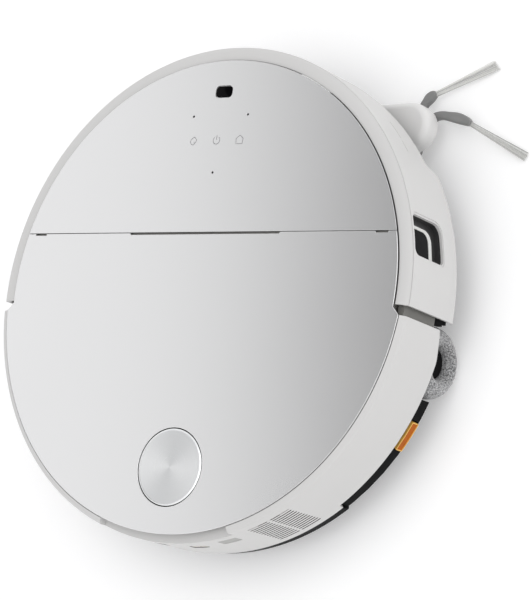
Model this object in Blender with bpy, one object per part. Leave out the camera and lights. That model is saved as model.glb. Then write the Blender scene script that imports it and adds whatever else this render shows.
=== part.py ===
"""Robot vacuum with a roller mop, standing on its raised wheels.

Metres, +Z up. The front is -Y and the robot's right side is -X. The origin is the centre of the
chassis underside, so the floor lies FLOOR_Z below it. Bearings are degrees seen from above,
clockwise from the front: 90 is the right side and 180 the rear.
"""

import math

import bmesh
import bpy
from mathutils import Matrix, Vector

# ---------------------------------------------------------------- driving dimensions
BODY_R = 0.1750
SHELL_WALL = 0.0019
TOP_Z = 0.0700
FLOOR_Z = -0.0200
GAP = 0.0003
RING_STEPS = 72

PANEL_R = 0.1646
COVER_R = 0.1700
PANEL_LIP = 0.0010
PANEL_THICK = 0.0027
PANEL_CORE_R = 0.1572
SEAM_Y = -0.0408
SEAM_GAP = 0.0004
SEAM_RECESS_X = 0.0650
SEAM_RECESS = 0.0012
SEAM_SLOT_X = (0.1430, 0.1530)

BUMPER_END = 93.0
SHELL_START = 95.4
BUMPER_LOW_Z = 0.0110
SHELL_LOW_Z = 0.0200
SHELL_REAR_LOW_Z = 0.0145
SHELL_STEP_BEARING = 142.0
BASE_R = 0.1722
FRAME_R = 0.1628

LIDAR_Y = 0.1240
LIDAR_CAP_R = 0.0268

ARM_PIVOT = (-0.0700, -0.1150)
ARM_ROOT = (-0.0760, -0.1210)
ARM_ROOT_R = 0.0265
ARM_NOSE = (-0.1150, -0.1315)
ARM_NOSE_R = 0.0172
ARM_SWING = 30.0
ARM_TOP_Z = 0.0100
ARM_LOW_Z = -0.0050
SIDE_BRUSH = (-0.1120, -0.1180)

WHEEL_X = 0.1250
WHEEL_Y = -0.0300
WHEEL_R = 0.0330
WHEEL_WIDTH = 0.0220
WHEEL_Z = FLOOR_Z + WHEEL_R
ARM_PIN_Y = -0.0780
ARM_PIN_Z = 0.0250

CASTER_Y = -0.1320
CASTER_TRAIL = 0.0030
CASTER_WHEEL_R = 0.0125
CASTER_Z = FLOOR_Z + CASTER_WHEEL_R

BRUSH_Y = -0.0650
BRUSH_Z = 0.0105
BRUSH_R = 0.0200
BRUSH_HALF = 0.0840

MOP_Y = 0.0347
MOP_R = 0.0248
MOP_Z = FLOOR_Z + MOP_R + GAP
MOP_RIGHT_X = -0.1682
MOP_LEFT_X = 0.0900
MOP_FILLET = 0.0130
MOP_HOLE_R = 0.0085
BAY_LOW_Y = 0.0080
BAY_HIGH_Y = 0.0618

LATCH_BEARING = 120.0
CONTACT_BEARING = 5.6


# ---------------------------------------------------------------- helpers
def clear_scene():
    for old in list(bpy.data.objects):
        bpy.data.objects.remove(old, do_unlink=True)


def finish_material(name, colour, roughness, metallic=0.0):
    """A Principled material with one colour."""
    made = bpy.data.materials.new(name)
    made.use_nodes = True
    shader = made.node_tree.nodes["Principled BSDF"]
    shader.inputs["Base Color"].default_value = (*colour, 1.0)
    shader.inputs["Roughness"].default_value = roughness
    shader.inputs["Metallic"].default_value = metallic
    made.diffuse_color = (*colour, 1.0)
    return made


def as_object(name, bm, material):
    """Close the mesh's doubles, turn its faces outwards and make it an object."""
    bmesh.ops.remove_doubles(bm, verts=bm.verts, dist=1e-6)
    bmesh.ops.recalc_face_normals(bm, faces=bm.faces)
    mesh = bpy.data.meshes.new(name)
    bm.to_mesh(mesh)
    bm.free()
    mesh.shade_smooth()
    mesh.set_sharp_from_angle(angle=math.radians(35))
    made = bpy.data.objects.new(name, mesh)
    bpy.context.scene.collection.objects.link(made)
    if material:
        mesh.materials.append(material)
    return made


def on_ring(radius, bearing, centre=(0.0, 0.0)):
    """The plan position at a radius and bearing."""
    turn = math.radians(bearing)
    return (centre[0] - radius * math.sin(turn), centre[1] - radius * math.cos(turn))


def turned(name, profile, material=None, start=0.0, end=360.0, centre=(0.0, 0.0), steps=None):
    """A closed (radius, height) profile swept round a vertical axis, in full or in part."""
    full = end - start >= 360.0
    count = steps or max(3, round(RING_STEPS * (end - start) / 360.0))
    bm = bmesh.new()
    rings = []
    for i in range(count if full else count + 1):
        bearing = start + (end - start) * i / count
        spots = [on_ring(radius, bearing, centre) for radius, _ in profile]
        rings.append([bm.verts.new((*spot, height)) for spot, (_, height) in zip(spots, profile)])
    pairs = list(zip(rings, rings[1:]))
    if full:
        pairs.append((rings[-1], rings[0]))
    else:
        bm.faces.new(rings[0])
        bm.faces.new(rings[-1])
    for here, there in pairs:
        for i in range(len(profile)):
            j = (i + 1) % len(profile)
            if profile[i][0] == 0.0 and profile[j][0] == 0.0:
                continue
            bm.faces.new((here[i], here[j], there[j], there[i]))
    if full:
        bmesh.ops.remove_doubles(bm, verts=bm.verts, dist=1e-7)
        bmesh.ops.dissolve_degenerate(bm, edges=bm.edges, dist=1e-8)
    return as_object(name, bm, material)


def disc(name, radius, low, high, material=None, centre=(0.0, 0.0), steps=24):
    return turned(name, [(0.0, low), (radius, low), (radius, high), (0.0, high)], material,
                  centre=centre, steps=steps)


def block(name, low, high, material=None):
    bm = bmesh.new()
    bmesh.ops.create_cube(bm, size=1.0)
    size = Vector(high) - Vector(low)
    middle = (Vector(high) + Vector(low)) / 2
    bmesh.ops.transform(bm, matrix=Matrix.Translation(middle) @ Matrix.Diagonal((*size, 1.0)),
                        verts=bm.verts)
    return as_object(name, bm, material)


def prism(name, outline, low, high, material=None):
    """A plan outline raised from one height to another."""
    bm = bmesh.new()
    floor = [bm.verts.new((x, y, low)) for x, y in outline]
    roof = [bm.verts.new((x, y, high)) for x, y in outline]
    bm.faces.new(floor)
    bm.faces.new(roof)
    for i in range(len(outline)):
        j = (i + 1) % len(outline)
        bm.faces.new((floor[i], floor[j], roof[j], roof[i]))
    return as_object(name, bm, material)


def side_prism(name, outline, left, right, material=None):
    """An outline in the Y-Z plane run along X."""
    made = prism(name, outline, left, right, material)
    made.data.transform(Matrix(((0, 0, 1, 0), (1, 0, 0, 0), (0, 1, 0, 0), (0, 0, 0, 1))))
    return made


def rod(name, radius, left, right, y, z, material=None, steps=20):
    """A round bar along X."""
    outline = [(y + radius * math.cos(math.tau * i / steps), z + radius * math.sin(math.tau * i / steps))
               for i in range(steps)]
    return side_prism(name, outline, left, right, material)


def turned_on_x(name, profile, y, z, material=None, steps=40):
    """A closed (radius, x) profile turned round an axis along X."""
    made = turned(name, profile, material, steps=steps)
    made.data.transform(Matrix(((0, 0, 1, 0), (1, 0, 0, y), (0, 1, 0, z), (0, 0, 0, 1))))
    return made


def hull_outline(circles, steps=40):
    """The outline that a band stretched round some (x, y, radius) circles takes."""
    spots = sorted({(round(x + r * math.cos(math.tau * i / steps), 7),
                     round(y + r * math.sin(math.tau * i / steps), 7))
                    for x, y, r in circles for i in range(steps)})

    def half(points):
        chain = []
        for p in points:
            while len(chain) > 1:
                (ax, ay), (bx, by) = chain[-2], chain[-1]
                if (bx - ax) * (p[1] - ay) - (by - ay) * (p[0] - ax) > 1e-12:
                    break
                chain.pop()
            chain.append(p)
        return chain[:-1]

    return half(spots) + half(spots[::-1])


def keep_as_tool(tool):
    tool.hide_render = True
    tool.display_type = "WIRE"


def boolean(target, tool, operation):
    """EXACT everywhere but on the base, whose many crossing walls it leaves open."""
    made = target.modifiers.new(tool.name, "BOOLEAN")
    made.operation = operation
    made.solver = "MANIFOLD" if target.name == "base_tray" else "EXACT"
    made.object = tool
    keep_as_tool(tool)


def cut(target, *tools):
    for tool in tools:
        boolean(target, tool, "DIFFERENCE")


def unite(target, *tools):
    for tool in tools:
        boolean(target, tool, "UNION")


def set_origin(piece, spot):
    """Move a piece's origin onto its joint's axis and leave its shape where it is."""
    piece.data.transform(Matrix.Translation(-Vector(spot)))
    piece.location = spot


def turned_about(spot, centre, degrees):
    """A plan position after a clockwise turn, seen from above, about a centre."""
    turn = -math.radians(degrees)
    x, y = spot[0] - centre[0], spot[1] - centre[1]
    return (centre[0] + x * math.cos(turn) - y * math.sin(turn),
            centre[1] + x * math.sin(turn) + y * math.cos(turn))


def band(name, inner, outer, low, high, start, end, material=None, steps=None):
    """A part of a ring with a square section."""
    return turned(name, [(inner, low), (outer, low), (outer, high), (inner, high)], material,
                  start, end, steps=steps)


# ---------------------------------------------------------------- materials
def make_materials():
    return {
        "plate": finish_material("gloss_grey_plate", (0.66, 0.66, 0.67), 0.22),
        "white": finish_material("white_shell", (0.76, 0.76, 0.74), 0.45),
        "grey": finish_material("grey_frame", (0.30, 0.30, 0.29), 0.60),
        "black": finish_material("black_base", (0.012, 0.012, 0.012), 0.50),
        "glass": finish_material("dark_window", (0.008, 0.008, 0.010), 0.08),
        "amber": finish_material("amber_latch", (0.55, 0.17, 0.02), 0.40),
        "metal": finish_material("brushed_aluminium", (0.80, 0.80, 0.80), 0.30, 1.0),
        "steel": finish_material("steel", (0.55, 0.55, 0.56), 0.35, 1.0),
        "copper": finish_material("contact_plating", (0.72, 0.70, 0.66), 0.30, 1.0),
        "rubber": finish_material("grey_rubber", (0.22, 0.22, 0.22), 0.70),
        "tyre": finish_material("black_tyre", (0.03, 0.03, 0.03), 0.85),
        "plush": finish_material("grey_plush", (0.32, 0.32, 0.32), 0.95),
        "bristle": finish_material("light_bristle", (0.60, 0.60, 0.57), 0.70),
        "clear": finish_material("smoked_tank", (0.20, 0.22, 0.24), 0.20),
        "board": finish_material("green_board", (0.02, 0.14, 0.06), 0.50),
        "filter": finish_material("filter_paper", (0.75, 0.75, 0.70), 0.90),
        "light": finish_material("frosted_window", (0.45, 0.46, 0.47), 0.35),
    }


# ---------------------------------------------------------------- chassis
def arm_circles(turn, extra):
    """The side-brush arm's two circles after a swing, made larger by a margin."""
    root = turned_about(ARM_ROOT, ARM_PIVOT, turn)
    nose = turned_about(ARM_NOSE, ARM_PIVOT, turn)
    return [(*root, ARM_ROOT_R + extra), (*nose, ARM_NOSE_R + extra)]


def swept_arm_outline(extra, steps=24):
    circles = []
    for turn in (0.0, ARM_SWING / 2, ARM_SWING):
        circles += arm_circles(turn, extra)
    return hull_outline(circles, steps)


def wheel_well(side):
    return block(f"wheel_well_{side}", (side * 0.1222 - 0.0208, -0.0920, -0.0050),
                 (side * 0.1222 + 0.0208, 0.0062, 0.0300))


def make_base(mat):
    floor = 0.0030
    base = turned("base_tray", [(0.0, 0.0), (0.1650, 0.0), (BASE_R, 0.0062), (BASE_R, 0.0240),
                                (0.1700, 0.0240), (0.1700, 0.0085), (0.1650, floor), (0.0, floor)],
                  mat["black"])
    inner_ring = band("base_inner_ring", 0.1595, 0.1618, 0.0010, 0.0254, 0, 360)
    roof = prism("arm_roof", swept_arm_outline(0.0030), 0.0098, 0.0128)
    pin_boss = disc("caster_guide", 0.0205, 0.0010, 0.0300, centre=(0.0, CASTER_Y))
    unite(base, inner_ring, roof, pin_boss)
    front_trim = band("front_trim", 0.1620, 0.2000, -0.0100, 0.0400, -SHELL_START, SHELL_START)
    recess = prism("arm_recess", swept_arm_outline(0.0012), -0.0050, 0.0104)
    mouth = block("brush_mouth", (-0.0988, -0.0888, -0.0050), (0.0988, -0.0412, 0.0200))
    bay = block("mop_bay", (-0.2000, BAY_LOW_Y, -0.0050), (0.1220, BAY_HIGH_Y, 0.0400))
    caster_hole = disc("caster_hole", 0.0178, -0.0050, 0.0400, centre=(0.0, CASTER_Y))
    cut(base, front_trim, recess, mouth, bay, caster_hole, wheel_well(1), wheel_well(-1))
    for side in (1, -1):
        bearing = side * LATCH_BEARING
        cut(base, band(f"latch_pocket_{side}", 0.1600, 0.1800, 0.0073, 0.0154,
                       bearing - 3.9, bearing + 3.9, steps=2))
    return base


def make_frame(mat):
    low, top, ledge = 0.0257, 0.0668, 0.0640
    frame = turned("mid_frame", [(0.1603, low), (FRAME_R, low), (FRAME_R, top), (0.1500, top),
                                 (0.1500, ledge), (0.1603, ledge)], mat["grey"])
    unite(frame, block("seam_bar", (-0.1510, -0.0470, ledge), (0.1510, -0.0345, top)))
    cut(frame, disc("lidar_pass", 0.0306, 0.0500, 0.0800, centre=(0.0, LIDAR_Y), steps=32))
    cut(frame, block("mop_pass", (-0.2000, BAY_LOW_Y, 0.0), (-0.1300, BAY_HIGH_Y, 0.0460)))
    return frame


def make_rear_shell(mat):
    inner = BODY_R - SHELL_WALL
    ledge = 0.0686
    profile = [(inner, SHELL_REAR_LOW_Z), (BODY_R, SHELL_REAR_LOW_Z), (BODY_R, 0.0668),
               (0.1742, 0.0676), (0.1704, 0.0696), (0.1704, ledge), (0.1632, ledge),
               (0.1632, 0.0570), (inner, 0.0570)]
    shell = turned("rear_shell", profile, mat["white"], SHELL_START, 360 - SHELL_START)
    for start, end in ((90.0, SHELL_STEP_BEARING), (360 - SHELL_STEP_BEARING, 270.0)):
        cut(shell, band(f"shell_step_{start:.0f}", 0.1600, 0.1900, 0.0, SHELL_LOW_Z, start, end))
    scoop = [(0.1646, 0.0634), (0.1800, 0.0590), (0.1800, 0.0800), (0.1646, 0.0800)]
    cut(shell, turned("finger_scoop", scoop, None, 162.0, 198.0))
    cut(shell, grille_slots())
    cut(shell, band("rear_light_hole", 0.1650, 0.1800, 0.0455, 0.0545, 162.8, 167.4, steps=2))
    for side in (1, -1):
        middle = 180 - side * CONTACT_BEARING
        cut(shell, band(f"contact_hole_{side}", 0.1650, 0.1800, 0.0427, 0.0493,
                        middle - 2.1, middle + 2.1, steps=2))
    return shell


def grille_slots():
    """Two columns of fine slots in one cutter."""
    bm = bmesh.new()
    rows, low, high, slot = 13, 0.0215, 0.0595, 0.0015
    pitch = (high - low) / (rows - 1)
    for first, last in ((146.6, 152.0), (152.6, 158.0)):
        for row in range(rows):
            z = low + row * pitch
            corners = [on_ring(radius, bearing) for radius, bearing in
                       ((0.1650, first), (0.1800, first), (0.1800, last), (0.1650, last))]
            floor = [bm.verts.new((*spot, z - slot / 2)) for spot in corners]
            roof = [bm.verts.new((*spot, z + slot / 2)) for spot in corners]
            bm.faces.new(floor)
            bm.faces.new(roof)
            for i in range(4):
                bm.faces.new((floor[i], floor[i - 1], roof[i - 1], roof[i]))
    return as_object("grille_slots", bm, None)


def panel_arc(radius, seam_y, front, steps=44):
    """Points of a circle on one side of the seam line."""
    reach = math.degrees(math.acos(-seam_y / radius))
    if front:
        first, last = -reach, reach
    else:
        first, last = reach, 360 - reach
    return [on_ring(radius, first + (last - first) * i / steps) for i in range(steps + 1)]


def make_front_panel(mat):
    seam = SEAM_Y - SEAM_GAP / 2
    panel = prism("front_top_panel", panel_arc(PANEL_R, seam, True), TOP_Z - PANEL_LIP, TOP_Z,
                  mat["plate"])
    unite(panel, prism("front_panel_core", panel_arc(PANEL_CORE_R, seam, True),
                       TOP_Z - PANEL_THICK, TOP_Z - PANEL_LIP / 2))
    window = hull_outline([(x, -0.1419 + y, 0.0016) for x in (-0.0056, 0.0056)
                           for y in (-0.0027, 0.0027)], 12)
    cut(panel, prism("tof_hole", window, 0.0500, 0.0800))
    return panel


def make_tof_window(mat):
    window = hull_outline([(x, -0.1419 + y, 0.0013) for x in (-0.0056, 0.0056)
                           for y in (-0.0027, 0.0027)], 12)
    return prism("tof_window", window, 0.0675, 0.0697, mat["glass"])


def make_rear_cover(mat):
    """The lid: narrow beside the bumper, full width behind the gap, with the seam's recess."""
    seam = SEAM_Y + SEAM_GAP / 2
    step_y, wide_y = 0.0105, 0.0160

    def half(side):
        start = math.degrees(math.acos(-seam / PANEL_R))
        turn = math.degrees(math.acos(-step_y / PANEL_R)) - start
        narrow = [on_ring(PANEL_R, side * (start + turn * i / 5)) for i in range(6)]
        first = math.degrees(math.acos(-wide_y / COVER_R))
        wide = [on_ring(COVER_R, side * (first + (180 - first) * i / 18)) for i in range(19)]
        return narrow + wide

    right = half(1)
    left = half(-1)[::-1][1:]
    deep = seam + SEAM_RECESS
    inner, outer = SEAM_SLOT_X
    seam_points = [(outer, seam), (outer, deep), (inner, deep), (inner, seam),
                   (SEAM_RECESS_X, seam), (SEAM_RECESS_X, deep)]
    mirrored = [(-x, y) for x, y in seam_points[::-1]]
    outline = right + left + seam_points + mirrored
    cover = prism("rear_top_cover", outline, TOP_Z - PANEL_LIP, TOP_Z, mat["plate"])
    unite(cover, prism("rear_cover_core", panel_arc(PANEL_CORE_R, seam + 0.0020, False),
                       TOP_Z - PANEL_THICK, TOP_Z - PANEL_LIP / 2))
    cut(cover, disc("lidar_hole", 0.0274, 0.0500, 0.0800, centre=(0.0, LIDAR_Y), steps=40))
    set_origin(cover, (0.0, seam, TOP_Z - 0.0002))
    return cover


# ---------------------------------------------------------------- lidar
def make_lidar(mat):
    centre = (0.0, LIDAR_Y)
    turned("lidar_well", [(0.0, 0.0200), (0.0300, 0.0200), (0.0300, 0.0664), (0.0284, 0.0664),
                          (0.0284, 0.0220), (0.0, 0.0220)], mat["black"], centre=centre, steps=32)
    cap = turned("lidar_cap", [(0.0, 0.0671), (0.0262, 0.0671), (LIDAR_CAP_R, 0.0677),
                               (LIDAR_CAP_R, 0.0696), (0.0262, TOP_Z), (0.0, TOP_Z)],
                 mat["metal"], centre=centre, steps=48)
    turret = disc("lidar_turret", 0.0262, 0.0395, 0.0668, mat["white"], centre, 32)
    cut(turret, disc("turret_hollow", 0.0240, 0.0415, 0.0645, None, centre, 32))
    for quarter in range(4):
        start = 90 * quarter + 9
        window = turned(f"turret_window_{quarter}",
                        [(0.0200, 0.0430), (0.0300, 0.0430), (0.0300, 0.0630), (0.0200, 0.0630)],
                        None, start, start + 72, centre, 8)
        cut(turret, window)
    head = disc("lidar_head", 0.0200, 0.0422, 0.0638, mat["black"], centre, 32)
    eye_z, eye_r = 0.0530, 0.0052
    for side in (1, -1):
        eye = turned_on_x(f"lidar_eye_{side}", [(0.0, -0.0300), (eye_r, -0.0300), (eye_r, -0.0150),
                                                (0.0, -0.0150)], LIDAR_Y + side * 0.0075, eye_z,
                          None, 16)
        cut(head, eye)
    for piece in (cap, turret, head):
        set_origin(piece, (0.0, LIDAR_Y, 0.0395))


# ---------------------------------------------------------------- bumper
def make_bumper(mat):
    inner = 0.1726
    profile = [(0.1650, 0.0672), (0.1650, 0.0686), (0.1742, 0.0674), (BODY_R, 0.0664),
               (BODY_R, BUMPER_LOW_Z), (inner, BUMPER_LOW_Z), (inner, 0.0650), (0.1700, 0.0650),
               (0.1700, 0.0672)]
    bumper = turned("bumper", profile[::-1], mat["white"], -BUMPER_END, BUMPER_END)
    arch = [(0.1600, 0.0), (0.1900, 0.0), (0.1900, 0.0222), (0.1600, 0.0222)]
    cut(bumper, turned("arm_arch", arch, None, 27.0, 57.0))
    cut(bumper, band("side_window_hole_right", 0.1600, 0.1900, 0.0305, 0.0643, 71.8, 81.3, steps=2))
    cut(bumper, band("side_window_hole_left", 0.1600, 0.1900, 0.0305, 0.0643, -81.3, -71.8, steps=2))
    cut(bumper, band("front_window_hole", 0.1600, 0.1900, 0.0307, 0.0453, -22.0, 22.0, steps=10))
    for first, last in ((45.0, 50.2), (51.0, 54.4)):
        cut(bumper, band(f"bumper_slot_{first:.0f}", 0.1740, 0.1900, 0.0421, 0.0429, first, last, steps=2))
    band("front_window", 0.1731, 0.1749, 0.0310, 0.0450, -21.8, 21.8, mat["glass"], 10)
    for side in (1, -1):
        label = "right" if side > 0 else "left"
        middle = side * 76.55
        window = band(f"side_window_{label}", 0.1668, 0.1722, 0.0280, 0.0646,
                      middle - 5.6, middle + 5.6, mat["glass"], 2)
        cut(window, band(f"side_window_pocket_{label}", 0.1686, 0.1900, 0.0300, 0.0644 - 0.0014,
                         middle - 4.9, middle + 4.9, steps=2))
    for label, bearing in (("right", 12.0), ("left", -30.0)):
        spring = [on_ring(r, bearing + b) for r, b in
                  ((0.1631, 0.0), (0.1631, 3.0), (0.1641, 3.0), (0.1675, 0.2), (0.1675, -5.0),
                   (0.1665, -5.0), (0.1665, -0.3), (0.1637, 2.0))]
        prism(f"bumper_spring_{label}", spring, 0.0480, 0.0560, mat["steel"])


# ---------------------------------------------------------------- side brush
def make_side_brush(mat):
    arm = prism("side_brush_arm", hull_outline(arm_circles(0.0, 0.0), 32), ARM_LOW_Z, ARM_TOP_Z - GAP,
                mat["white"])
    rounding = arm.modifiers.new("top_rounding", "BEVEL")
    rounding.width = 0.0040
    rounding.segments = 3
    rounding.limit_method = "ANGLE"
    rounding.angle_limit = math.radians(60)
    cut(arm, disc("pivot_bore", 0.0055, -0.0200, 0.0200, centre=ARM_PIVOT))
    cut(arm, disc("pin_head_pocket", 0.0088, -0.0200, -0.0030, centre=ARM_PIVOT))
    set_origin(arm, (*ARM_PIVOT, 0.0))
    turned("arm_pivot_pin", [(0.0, -0.0048), (0.0080, -0.0048), (0.0080, -0.0034), (0.0050, -0.0034),
                             (0.0050, 0.0101), (0.0, 0.0101)], mat["steel"], centre=ARM_PIVOT, steps=20)
    rotor = turned("side_brush_rotor", [(0.0, -0.0140), (0.0090, -0.0140), (0.0130, -0.0120),
                                        (0.0130, -0.0054), (0.0, -0.0054)], mat["rubber"],
                   centre=SIDE_BRUSH, steps=24)
    leg_routes = {
        1: [(-0.1120, -0.1240), (-0.1128, -0.1400), (-0.1142, -0.1496), (-0.1168, -0.1540),
            (-0.1197, -0.1572), (-0.1232, -0.1597)],
        2: [(-0.1150, -0.1220), (-0.1185, -0.1350), (-0.1244, -0.1415), (-0.1302, -0.1431),
            (-0.1370, -0.1421), (-0.1439, -0.1407), (-0.1500, -0.1387), (-0.1549, -0.1364)],
    }
    tips = {1: ((-0.1626, -0.1838), (-0.1680, -0.1772)), 2: ((-0.1993, -0.1166), (-0.1960, -0.1108))}
    for number, route in leg_routes.items():
        unite(rotor, ribbon(f"brush_leg_{number}", route, 0.0062, -0.0128, -0.0078))
        root = route[-1]
        before = route[-2]
        bristles(f"side_bristles_{number}", before, root, tips[number], mat["bristle"])
    set_origin(rotor, (*SIDE_BRUSH, 0.0))
    for number in leg_routes:
        set_origin(bpy.data.objects[f"side_bristles_{number}"], (*SIDE_BRUSH, 0.0))


def ribbon(name, route, width, low, high):
    """A flat strap of one width that follows a plan route."""
    left, right = [], []
    for i, spot in enumerate(route):
        ahead = route[min(i + 1, len(route) - 1)]
        behind = route[max(i - 1, 0)]
        run = Vector((ahead[0] - behind[0], ahead[1] - behind[1])).normalized()
        side = Vector((-run.y, run.x)) * width / 2
        left.append((spot[0] + side.x, spot[1] + side.y))
        right.append((spot[0] - side.x, spot[1] - side.y))
    return prism(name, left + right[::-1], low, high)


def bristles(name, before, root, tips, material):
    """A flat fan of bristles that widens and droops towards the floor."""
    run = Vector((root[0] - before[0], root[1] - before[1])).normalized()
    side = Vector((-run.y, run.x))
    start = Vector(root) + run * 0.0006
    ends = [Vector(tip) for tip in tips]
    if (ends[0] - ends[1]).dot(side) < 0:
        ends.reverse()
    bm = bmesh.new()
    root_z, tip_z, half = -0.0103, -0.0178, 0.0008
    corners = [(start + side * 0.0016, root_z), (ends[0], tip_z), (ends[1], tip_z),
               (start - side * 0.0016, root_z)]
    low = [bm.verts.new((p.x, p.y, z - half)) for p, z in corners]
    high = [bm.verts.new((p.x, p.y, z + half)) for p, z in corners]
    bm.faces.new(low)
    bm.faces.new(high)
    for i in range(4):
        bm.faces.new((low[i], low[i - 1], high[i - 1], high[i]))
    return as_object(name, bm, material)


# ---------------------------------------------------------------- main brush
def make_main_brush(mat):
    lobes, rings, twist = 5, 17, math.radians(130)
    around = lobes * 4
    bm = bmesh.new()
    loops = []
    for ring in range(rings):
        share = ring / (rings - 1)
        x = -BRUSH_HALF + 2 * BRUSH_HALF * share
        turn = twist * abs(2 * share - 1)
        loop = []
        for i in range(around):
            radius = (BRUSH_R, 0.0150, 0.0142, 0.0150)[i % 4]
            angle = turn + math.tau * i / around
            loop.append(bm.verts.new((x, BRUSH_Y + radius * math.cos(angle),
                                      BRUSH_Z + radius * math.sin(angle))))
        loops.append(loop)
    for here, there in zip(loops, loops[1:]):
        for i in range(around):
            bm.faces.new((here[i - 1], here[i], there[i], there[i - 1]))
    bm.faces.new(loops[0])
    bm.faces.new(loops[-1])
    brush = as_object("main_brush", bm, mat["rubber"])
    unite(brush, rod("brush_shaft", 0.0040, -0.0900, 0.0900, BRUSH_Y, BRUSH_Z, steps=16))
    set_origin(brush, (0.0, BRUSH_Y, BRUSH_Z))
    for side in (1, -1):
        label = "left" if side > 0 else "right"
        near, far = side * 0.0850, side * 0.0944
        bearing = block(f"brush_bearing_{label}", (min(near, far), -0.0845, 0.0004),
                        (max(near, far), -0.0455, 0.0260), mat["black"])
        cut(bearing, rod(f"brush_bore_{label}", 0.0044, side * 0.0800 - 0.0120, side * 0.0800 + 0.0120,
                         BRUSH_Y, BRUSH_Z, steps=16))
    hood = []
    for radius, turns in ((0.0220, range(0, 13)), (0.0207, range(12, -1, -1))):
        hood += [(BRUSH_Y + radius * math.cos(math.pi * i / 12),
                  BRUSH_Z + radius * math.sin(math.pi * i / 12)) for i in turns]
    hood = side_prism("brush_hood", hood, -0.0845, 0.0845, mat["black"])
    cut(hood, block("hood_outlet", (-0.0280, -0.0550, 0.0140), (0.0280, -0.0300, 0.0300)))
    cover = block("brush_cover", (-0.0985, -0.0885, -0.0024), (0.0985, -0.0415, -GAP), mat["black"])
    cut(cover, block("cover_window", (-0.0900, -0.0860, -0.0100), (0.0900, -0.0445, 0.0100)))


# ---------------------------------------------------------------- wheels
def make_drive_wheel(side, mat):
    label = "left" if side > 0 else "right"

    def span(near, far):
        return sorted((side * near, side * far))

    hub_in, hub_out = span(WHEEL_X - WHEEL_WIDTH / 2, WHEEL_X + WHEEL_WIDTH / 2)
    rim, bore, spoke = 0.0236, 0.0043, 0.0012
    middle = side * WHEEL_X
    hub = turned_on_x(f"wheel_hub_{label}",
                      [(bore, hub_in), (rim, hub_in), (rim, hub_out), (0.0205, hub_out),
                       (0.0185, middle + spoke * 3), (bore, middle + spoke * 3)]
                      if side > 0 else
                      [(bore, middle - spoke * 3), (0.0185, middle - spoke * 3), (0.0205, hub_in),
                       (rim, hub_in), (rim, hub_out), (bore, hub_out)],
                      WHEEL_Y, WHEEL_Z, mat["black"], 32)
    tyre = turned_on_x(f"tyre_{label}",
                       [(rim + GAP, hub_in), (WHEEL_R - 0.0015, hub_in), (WHEEL_R, hub_in + 0.0020),
                        (WHEEL_R, hub_out - 0.0020), (WHEEL_R - 0.0015, hub_out), (rim + GAP, hub_out)],
                       WHEEL_Y, WHEEL_Z, mat["tyre"], 48)
    inner, outer = span(0.1065, 0.1135)
    link = hull_outline([(ARM_PIN_Y, ARM_PIN_Z, 0.0105), (WHEEL_Y, WHEEL_Z, 0.0150)], 28)
    arm = side_prism(f"wheel_arm_{label}", link, inner, outer, mat["black"])
    axle_in, axle_out = span(0.1100, WHEEL_X + 0.0020)
    unite(arm, rod(f"wheel_axle_{label}", 0.0040, axle_in, axle_out, WHEEL_Y, WHEEL_Z, steps=16))
    cut(arm, rod(f"arm_bore_{label}", 0.0034, inner - 0.0050, outer + 0.0050, ARM_PIN_Y, ARM_PIN_Z,
                 steps=16))
    plate_in, plate_out = span(0.1020, 0.1061)
    bracket = block(f"wheel_bracket_{label}", (plate_in, -0.0900, 0.0034),
                    (plate_out, -0.0680, 0.0370), mat["steel"])
    pin_in, pin_out = span(0.1040, 0.1160)
    unite(bracket, rod(f"wheel_pin_{label}", 0.0031, pin_in, pin_out, ARM_PIN_Y, ARM_PIN_Z, steps=16))
    set_origin(arm, (side * 0.1100, ARM_PIN_Y, ARM_PIN_Z))
    for piece in (hub, tyre):
        set_origin(piece, (side * WHEEL_X, WHEEL_Y, WHEEL_Z))


def make_caster(mat):
    centre = (0.0, CASTER_Y)
    axle_y = CASTER_Y + CASTER_TRAIL
    socket = turned("caster_socket", [(0.0156, -0.0005), (0.0175, -0.0005), (0.0175, 0.0160),
                                      (0.0, 0.0160), (0.0, 0.0110), (0.0156, 0.0110)],
                    mat["black"], centre=centre, steps=28)
    fork = turned("caster_fork", [(0.0, -0.0130), (0.0110, -0.0130), (0.0152, -0.0085), (0.0152, 0.0106),
                                  (0.0, 0.0106)], mat["black"], centre=centre, steps=28)
    cut(fork, rod("caster_slot", CASTER_WHEEL_R + 0.0013, -0.0075, 0.0075, axle_y, CASTER_Z, steps=28))
    cut(fork, rod("caster_axle_bore", 0.0019, -0.0300, 0.0300, axle_y, CASTER_Z, steps=12))
    rod("caster_axle", 0.0016, -0.0118, 0.0118, axle_y, CASTER_Z, mat["steel"], 12)
    wheel = turned_on_x("caster_wheel", [(0.0020, -0.0068), (0.0112, -0.0068), (CASTER_WHEEL_R, -0.0052),
                                         (CASTER_WHEEL_R, 0.0052), (0.0112, 0.0068), (0.0020, 0.0068)],
                        axle_y, CASTER_Z, mat["white"], 32)
    set_origin(socket, (*centre, 0.0))
    set_origin(fork, (*centre, 0.0))
    set_origin(bpy.data.objects["caster_axle"], (*centre, 0.0))
    set_origin(wheel, (0.0, axle_y, CASTER_Z))


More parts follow.
